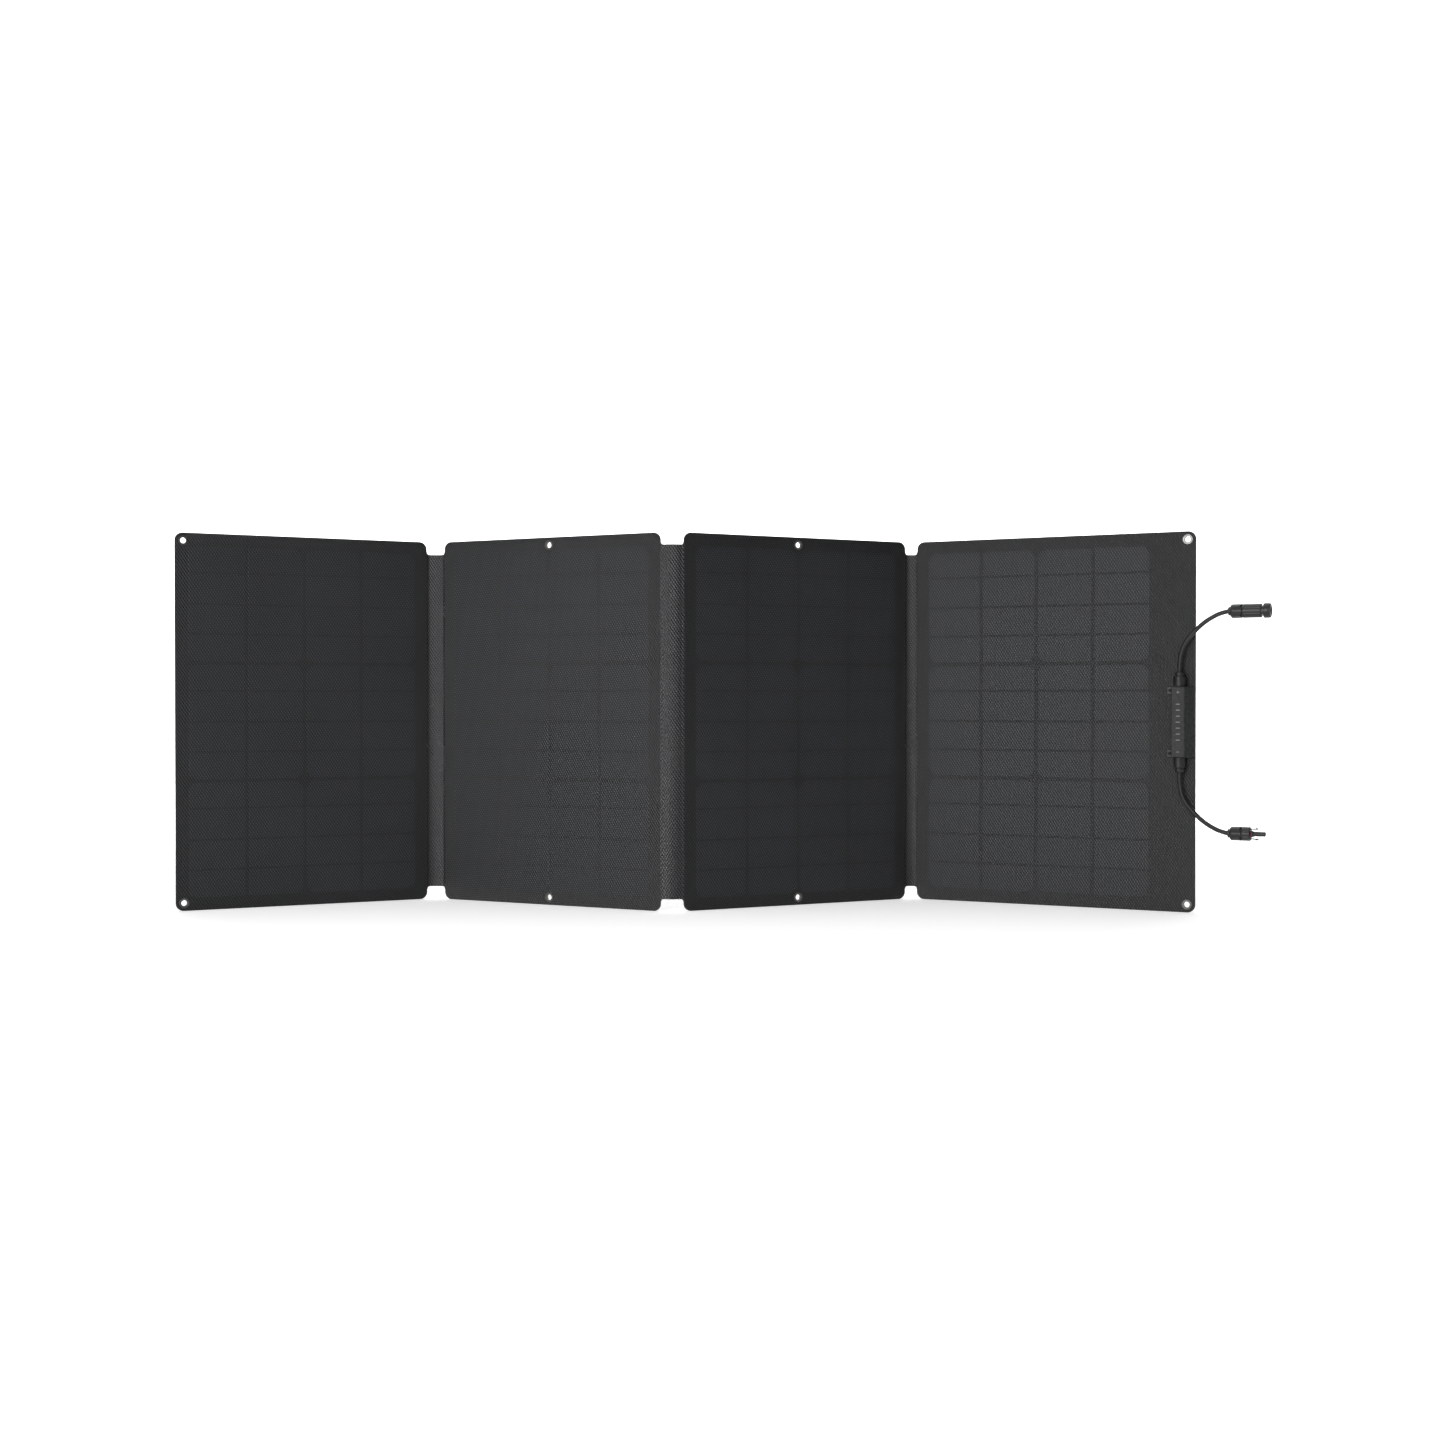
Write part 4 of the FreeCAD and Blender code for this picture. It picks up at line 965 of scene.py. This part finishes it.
def lug(end):
    outer = box_top if end > 0 else box_bottom
    inner = outer - end * LUG_HEIGHT
    low, high = min(outer, inner), max(outer, inner)
    section = rounded_loop([(lug_out, base_low, 0.2 * MM), (box_left + MM, base_low, 0.2 * MM),
                            (box_left + MM, base_low + 1.6 * MM, 0.2 * MM),
                            (lug_out, base_low + 1.6 * MM, 1.2 * MM)], 4)
    word = "upper" if end > 0 else "lower"
    foot = carried(f"box_lug_{word}", section, soft_rows(low, high, 1.0 * MM),
                   finishes["gland_plastic"])
    on_box(foot)
    centre = last.at((lug_out + box_left) / 2, (low + high) / 2, base_low + 1.6 * MM)
    dome = [(-0.4, 2.4)] + arc_points((-0.9, 0.0), 2.6, 20, 88, 6)
    rivet = turned_piece(f"box_rivet_{word}",
                         [(centre, last.front, last.across, dome, False)],
                         finishes["gland_plastic"])
    on_box(rivet)


# %% [markdown]
# The face carries a plain printed scale of short bars and, by the glands, the signs of the two
# leads' poles. Print is a very thin raised pad, so that it stays when the sheet is seen close.

# %% Printed marks
PRINT = 0.05 * MM
BARS, BAR_STEP, BAR_WIDTH, BAR_HEIGHT = 7, 8.0 * MM, 5.2 * MM, 1.2 * MM
face_middle = (box_left + face_right) / 2


def printed(name, marks):
    """Flat pads on the box's face, each (x, z, width, height)."""
    points, faces = [], []
    for x, z, width, height in marks:
        r, w, h = min(width, height) * 0.3, width / 2, height / 2
        loop = rounded_loop([(x - w, z - h, r), (x + w, z - h, r), (x + w, z + h, r),
                             (x - w, z + h, r)], 3)
        first, count = len(points), len(loop)
        for proud in (0.0, PRINT):
            points += [last.at(px, pz, box_face + proud) for px, pz in loop]
        faces += tube_faces(2, count, first=first)
        faces.append(tuple(range(first + count, first + 2 * count)))
    return on_box(piece_from(name, points, faces, finishes["print_ink"]))


printed("box_scale", [(face_middle, middle + (n - (BARS - 1) / 2) * BAR_STEP, BAR_WIDTH,
                       BAR_HEIGHT) for n in range(BARS)])
SIGN, SIGN_IN = 4.0 * MM, 7.5 * MM
printed("box_signs", [(face_middle, box_top - SIGN_IN, SIGN, SIGN / 5),
                      (face_middle, box_top - SIGN_IN, SIGN / 5, SIGN),
                      (face_middle, box_bottom + SIGN_IN, SIGN, SIGN / 5)])
for end in (1, -1):
    lug(end)

# %% [markdown]
# A gland grips each lead: a round body screwed into the box, and a domed cap that squeezes a rubber
# seal. The dark ring where they meet is a real gap. Both are turned profiles.

# %% Glands
GLAND_RADIUS, GLAND_LENGTH, CAP_RADIUS, CAP_LENGTH = 7.8, 13.9, 6.0, 6.6     # mm
CABLE_BORE, SEAL_BORE, NECK_RADIUS, CAP_ROUND = 3.05, 5.2, 4.9, 3.0
for end, word in ((1, "upper"), (-1, "lower")):
    start = last.at(last.width - LEAD_IN, box_top if end > 0 else box_bottom, LEAD_PROUD)
    axis = UP * end
    side = last.front
    body = [(-1.0, 3.1), (-1.0, NECK_RADIUS), (0.0, NECK_RADIUS), (0.0, GLAND_RADIUS - 0.5),
            (0.5, GLAND_RADIUS), (1.6, GLAND_RADIUS), (1.9, GLAND_RADIUS - 0.25),
            (2.2, GLAND_RADIUS)]
    body += arc_points((GLAND_LENGTH - 1.1, GLAND_RADIUS - 1.1), 1.1, 90, 0, 5)
    body += [(GLAND_LENGTH, 5.3), (GLAND_LENGTH - 0.8, SEAL_BORE), (GLAND_LENGTH - 0.8, 3.1)]
    cap = [(0.0, CABLE_BORE), (0.0, SEAL_BORE), (0.6, 5.3), (0.7, CAP_RADIUS)]
    cap += arc_points((CAP_LENGTH - CAP_ROUND, CAP_RADIUS - CAP_ROUND), CAP_ROUND, 90, 5, 7)
    cap += [(CAP_LENGTH, CABLE_BORE)]
    shapes = (("body", body, 0.0), ("cap", cap, GLAND_LENGTH))
    for part, profile, along in shapes:
        origin = start + axis * (along * MM)
        piece = turned_piece(f"gland_{part}_{word}", [(origin, axis, side, profile[::-1], True)],
                             finishes["gland_plastic"])
        on_box(piece, "gland_bodies" if part == "body" else "gland_caps")

# %% [markdown]
# Each connector starts with a nut over the cable: a narrow collar, a rounded shoulder and a front
# edge cut into four lobes that the hand turns. Changing a turned profile by angle makes the lobes,
# because each lobe only moves the front edge along the axis.

# %% Connector nuts
NUT_COLLAR, NUT_COLLAR_RADIUS, NUT_LENGTH, NUT_RADIUS = 2.8, 5.85, 15.8, 9.3   # mm
NUT_END = NUT_COLLAR + NUT_LENGTH
LOBES, LOBE_DEPTH, LOBE_REACH, FLUTE_DEPTH = 4, 2.6, 4.0, 0.35
NUT_SHOULDER, NUT_BORE = 3.4, 7.1


def connector_place(end):
    return lead_point(*LEAD_ROUTE[-1], end)


def nut_shape(along, radius, angle):
    if along > NUT_END - LOBE_REACH and radius > 6.0:
        cut = LOBE_DEPTH * (1 - abs(math.cos(angle * LOBES / 2))) ** 0.8
        along -= cut * (along - NUT_END + LOBE_REACH) / LOBE_REACH
    if radius > 9.0:
        radius -= FLUTE_DEPTH * (0.5 - 0.5 * math.cos(angle * LOBES * 2)) ** 2
    return along, radius * math.cos(angle), radius * math.sin(angle)


def nut(name, end):
    profile = [(0.0, CABLE_BORE), (0.0, NUT_COLLAR_RADIUS - 0.5), (0.5, NUT_COLLAR_RADIUS),
               (NUT_COLLAR, NUT_COLLAR_RADIUS)]
    profile += arc_points((NUT_COLLAR + NUT_SHOULDER, NUT_RADIUS - NUT_SHOULDER), NUT_SHOULDER,
                          180, 90, 7)
    profile += [(NUT_END - 6.0, NUT_RADIUS), (NUT_END - LOBE_REACH, NUT_RADIUS)]
    profile += arc_points((NUT_END - 0.8, NUT_RADIUS - 0.8), 0.8, 90, 0, 4)
    profile += [(NUT_END, NUT_BORE), (6.0, NUT_BORE), (6.0, CABLE_BORE)]
    origin = connector_place(end)
    return turned_piece(name, [(origin, last.across, last.front, profile[::-1], True)],
                        finishes["connector_plastic"], nut_shape, 96)


# %% [markdown]
# The receptacle's housing is a ribbed barrel with a window above and below, where the plug's barbs
# catch, and a wide mouth. The plug's housing is short, and a slim tube and two springy prongs stand
# out of it. Grooves run along both housings, on the side that a thumb rests on.

# %% Housings
BODY_RADIUS, MOUTH_RADIUS = 9.25, 9.9                           # mm
WINDOW, WEB, MOUTH, RECEPTACLE_BODY, PLUG_BODY = 2.3, 4.65, 9.3, 24.7, 11.2
GROOVE_TURN, GROOVE_HALF, GROOVE_DEPTH = math.radians(22), math.radians(8), 0.8
MOUTH_BORE, MOUTH_DEPTH, CRIMP_BORE, TUBE_BORE = 5.4, 17.0, 2.7, 2.25
body_end = NUT_END + RECEPTACLE_BODY
window_end = body_end + WINDOW
mouth_end = window_end + MOUTH


def groove(angle):
    """How deep the grooves are at this angle: two on the front and two on the back."""
    folded = abs((angle + math.pi / 2) % math.pi - math.pi / 2)
    off = abs(folded - GROOVE_TURN) / GROOVE_HALF
    return GROOVE_DEPTH * (1 - smooth(off))


def receptacle_shape(along, radius, angle):
    if radius > 8.0 and NUT_END + 2.0 < along < body_end - 0.4:
        radius -= groove(angle)
    x, y = radius * math.cos(angle), radius * math.sin(angle)
    if body_end + 0.05 < along < window_end - 0.05:
        y = max(-WEB, min(WEB, y))
    return along, x, y


def plug_shape(along, radius, angle):
    if radius > 8.0 and NUT_END + 1.0 < along < NUT_END + PLUG_BODY - 1.5:
        radius -= groove(angle)
    return along, radius * math.cos(angle), radius * math.sin(angle)


def lengthwise(start, end, radius, steps=6):
    return [(start + (end - start) * n / steps, radius) for n in range(steps + 1)]


def receptacle_housing():
    profile = [(5.0, CRIMP_BORE), (5.0, 7.0), (NUT_END, 7.0), (NUT_END, BODY_RADIUS - 0.8)]
    profile += [(NUT_END + 0.8, BODY_RADIUS)]
    profile += lengthwise(NUT_END + 1.9, NUT_END + 2.6, BODY_RADIUS, 2)
    profile += lengthwise(NUT_END + 3.0, body_end - 1.6, BODY_RADIUS, 3)
    profile += arc_points((body_end - 1.1, BODY_RADIUS - 1.1), 1.1, 80, 10, 3)
    profile += [(body_end, BODY_RADIUS - 1.4), (body_end + 0.1, BODY_RADIUS - 1.4),
                (window_end - 0.1, BODY_RADIUS - 1.4), (window_end, BODY_RADIUS - 1.0)]
    profile += arc_points((window_end + 1.2, MOUTH_RADIUS - 1.2), 1.2, 170, 90, 4)
    profile += [(mouth_end - 2.9, MOUTH_RADIUS), (mouth_end - 2.6, MOUTH_RADIUS - 0.35),
                (mouth_end - 2.3, MOUTH_RADIUS - 0.2)]
    profile += arc_points((mouth_end - 1.4, MOUTH_RADIUS - 1.6), 1.4, 90, 0, 5)
    profile += [(mouth_end, MOUTH_BORE), (mouth_end - MOUTH_DEPTH, MOUTH_BORE),
                (mouth_end - MOUTH_DEPTH, CRIMP_BORE)]
    part = (connector_place(1), last.across, last.front, profile[::-1], True)
    return turned_piece("receptacle_shell", [part], finishes["connector_plastic"],
                        receptacle_shape, 120)


def plug_housing():
    end = NUT_END + PLUG_BODY
    profile = [(5.0, CRIMP_BORE), (5.0, 7.0), (NUT_END, 7.0), (NUT_END, BODY_RADIUS - 0.8),
               (NUT_END + 0.8, BODY_RADIUS), (NUT_END + 1.5, BODY_RADIUS),
               (NUT_END + 2.2, BODY_RADIUS), (end - 2.6, BODY_RADIUS), (end - 1.9, BODY_RADIUS)]
    profile += arc_points((end - 1.5, BODY_RADIUS - 1.5), 1.5, 80, 0, 5)
    profile += [(end, 2.8), (end + 2.0, 2.8), (end + 2.0, 3.9), (end + 2.4, 4.1),
                (end + 4.9, 3.15)]
    profile += arc_points((end + 18.3, 2.45), 0.7, 90, 0, 4)
    profile += [(end + 19.0, TUBE_BORE), (end - 2.0, TUBE_BORE), (end - 2.0, CRIMP_BORE)]
    part = (connector_place(-1), last.across, last.front, profile[::-1], True)
    return turned_piece("plug_shell", [part], finishes["connector_plastic"], plug_shape, 120)


# %% [markdown]
# A prong is a flat spring: it leans out a little, carries a barb near its end, and its edges are
# rounded. It is drawn from the side as one outline and given its width.

# %% Prongs and the sealing ring
PRONG_WIDTH, PRONG_LENGTH = 6.0, 10.6                           # mm
PRONG_SIDE = ((-1.5, 5.7), (8.0, 5.9), (10.2, 6.2), (10.6, 6.6), (10.4, 7.0), (7.6, 8.3),
              (6.9, 8.4), (6.7, 8.0), (6.6, 7.3), (2.5, 7.1), (-1.5, 7.2))


def prong(name, side):
    origin, points, faces = connector_place(-1), [], []
    count = len(PRONG_SIDE)
    for across, shrink in ((-0.5, 0.25), (-0.44, 0.0), (0.44, 0.0), (0.5, 0.25)):
        loop = [Vector(p) for p in PRONG_SIDE]
        loop = inset_loop(loop, shrink) if shrink else loop
        for along, out in loop:
            points.append(origin + (last.across * (NUT_END + PLUG_BODY + along)
                                    + UP * (side * out) + last.front * (across * PRONG_WIDTH)) * MM)
    faces += tube_faces(4, count)
    faces += [tuple(reversed(range(count))), tuple(range(3 * count, 4 * count))]
    if side > 0:
        faces = [tuple(reversed(face)) for face in faces]
    return piece_from(name, points, faces, finishes["connector_plastic"])


def sealing_ring():
    centre = (NUT_END + PLUG_BODY + 1.0, 3.8)
    section = arc_points(centre, 0.95, 0, 330, 11)
    part = (connector_place(-1), last.across, last.front, section[::-1], True)
    return turned_piece("plug_ring", [part], finishes["red_rubber"])


connector_pieces = {
    1: [on_box(nut("receptacle_cap", 1), "receptacle_nut"),
        on_box(receptacle_housing(), "receptacle_housing")],
    -1: [on_box(nut("plug_cap", -1), "plug_nut"), on_box(plug_housing(), "plug_housing"),
         on_box(prong("plug_prong_upper", 1)), on_box(prong("plug_prong_lower", -1)),
         on_box(sealing_ring(), "plug_o_ring", slot="red_rubber")],
}
for end, pieces in connector_pieces.items():
    print([piece.name for piece in pieces])

# %% [markdown]
# The leads ride on the last panel and stand for their plain tubes.

for end, word in ((1, "upper"), (-1, "lower")):
    piece = leads[end]
    piece.data.materials.append(finishes["cable_jacket"])
    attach(piece, "panel_4")
    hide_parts(f"lead_{word}")
    lead_point(*LEAD_ROUTE[0], end)

# %% [markdown]
# A pale seamless paper sweeps from the floor up behind the sheet, as in a small product studio. The
# paper is one curved surface, so there is no line where the floor ends. It glows a little by itself,
# which keeps it white under lights that are weak enough for the dark sheet.

# %% Floor and backdrop
PAPER_HALF, PAPER_FRONT, PAPER_BACK, SWEEP, PAPER_TOP = 9.0, -7.0, 4.5, 1.8, 7.0
profile = [(PAPER_FRONT, 0.0)]
for step in range(17):
    turn = math.pi / 2 * step / 16
    profile.append((PAPER_BACK - SWEEP + SWEEP * math.sin(turn), SWEEP * (1 - math.cos(turn))))
profile.append((PAPER_BACK, PAPER_TOP))
points = [(x, y, z) for y, z in profile for x in (-PAPER_HALF, PAPER_HALF)]
faces = [(2 * n, 2 * n + 1, 2 * n + 3, 2 * n + 2) for n in range(len(profile) - 1)]
paper_finish = Finish("white_paper", "f7f7f7", 0.9, specular=0.1)
paper_finish.shader.inputs["Emission Color"].default_value = (1, 1, 1, 1)
paper_finish.shader.inputs["Emission Strength"].default_value = 0.3
paper = piece_from("studio_paper", points, faces, paper_finish.material)

# %% [markdown]
# Dark satin surfaces show their lights rather than their colour. A large soft box in front and to
# the left gives the panels that turn left their paler grey, weaker ones at both sides lift the
# others a little, and an upright strip near the camera draws the lines on the hinges.

# %% Lights
def soft_box(name, place, target, size, power, tall=None):
    light = bpy.data.lights.new(name, "AREA")
    light.shape = "RECTANGLE"
    light.size, light.size_y = size, tall or size
    light.energy = power
    lamp = bpy.data.objects.new(name, light)
    lamp.location = place
    lamp.rotation_mode = "QUATERNION"
    lamp.rotation_quaternion = (Vector(target) - Vector(place)).to_track_quat("-Z", "Y")
    bpy.context.scene.collection.objects.link(lamp)
    return lamp


CENTRE = (0, 0, 0.25)
soft_box("front_left", (-1.8, -3.3, 0.9), (0.2, 0, 0.25), 1.6, 84)
soft_box("left", (-3.2, -2.2, 0.9), CENTRE, 1.6, 3)
soft_box("front_strip", (0.1, -4.0, 1.3), CENTRE, 0.35, 14, 1.6)
soft_box("right", (3.5, -2.2, 0.9), CENTRE, 1.6, 5)
soft_box("overhead", (0, 0.4, 3.6), (0, 0.6, 0), 5.0, 135)
soft_box("paper_wash", (0, 1.2, 2.6), (0, 4.4, 1.6), 6.0, 260, 1.0)
world = bpy.data.worlds.new("studio_air")
world.use_nodes = True
world.node_tree.nodes["Background"].inputs["Color"].default_value = (1, 1, 1, 1)
world.node_tree.nodes["Background"].inputs["Strength"].default_value = 0.03
bpy.context.scene.world = world
bpy.context.scene.view_settings.view_transform = "Standard"
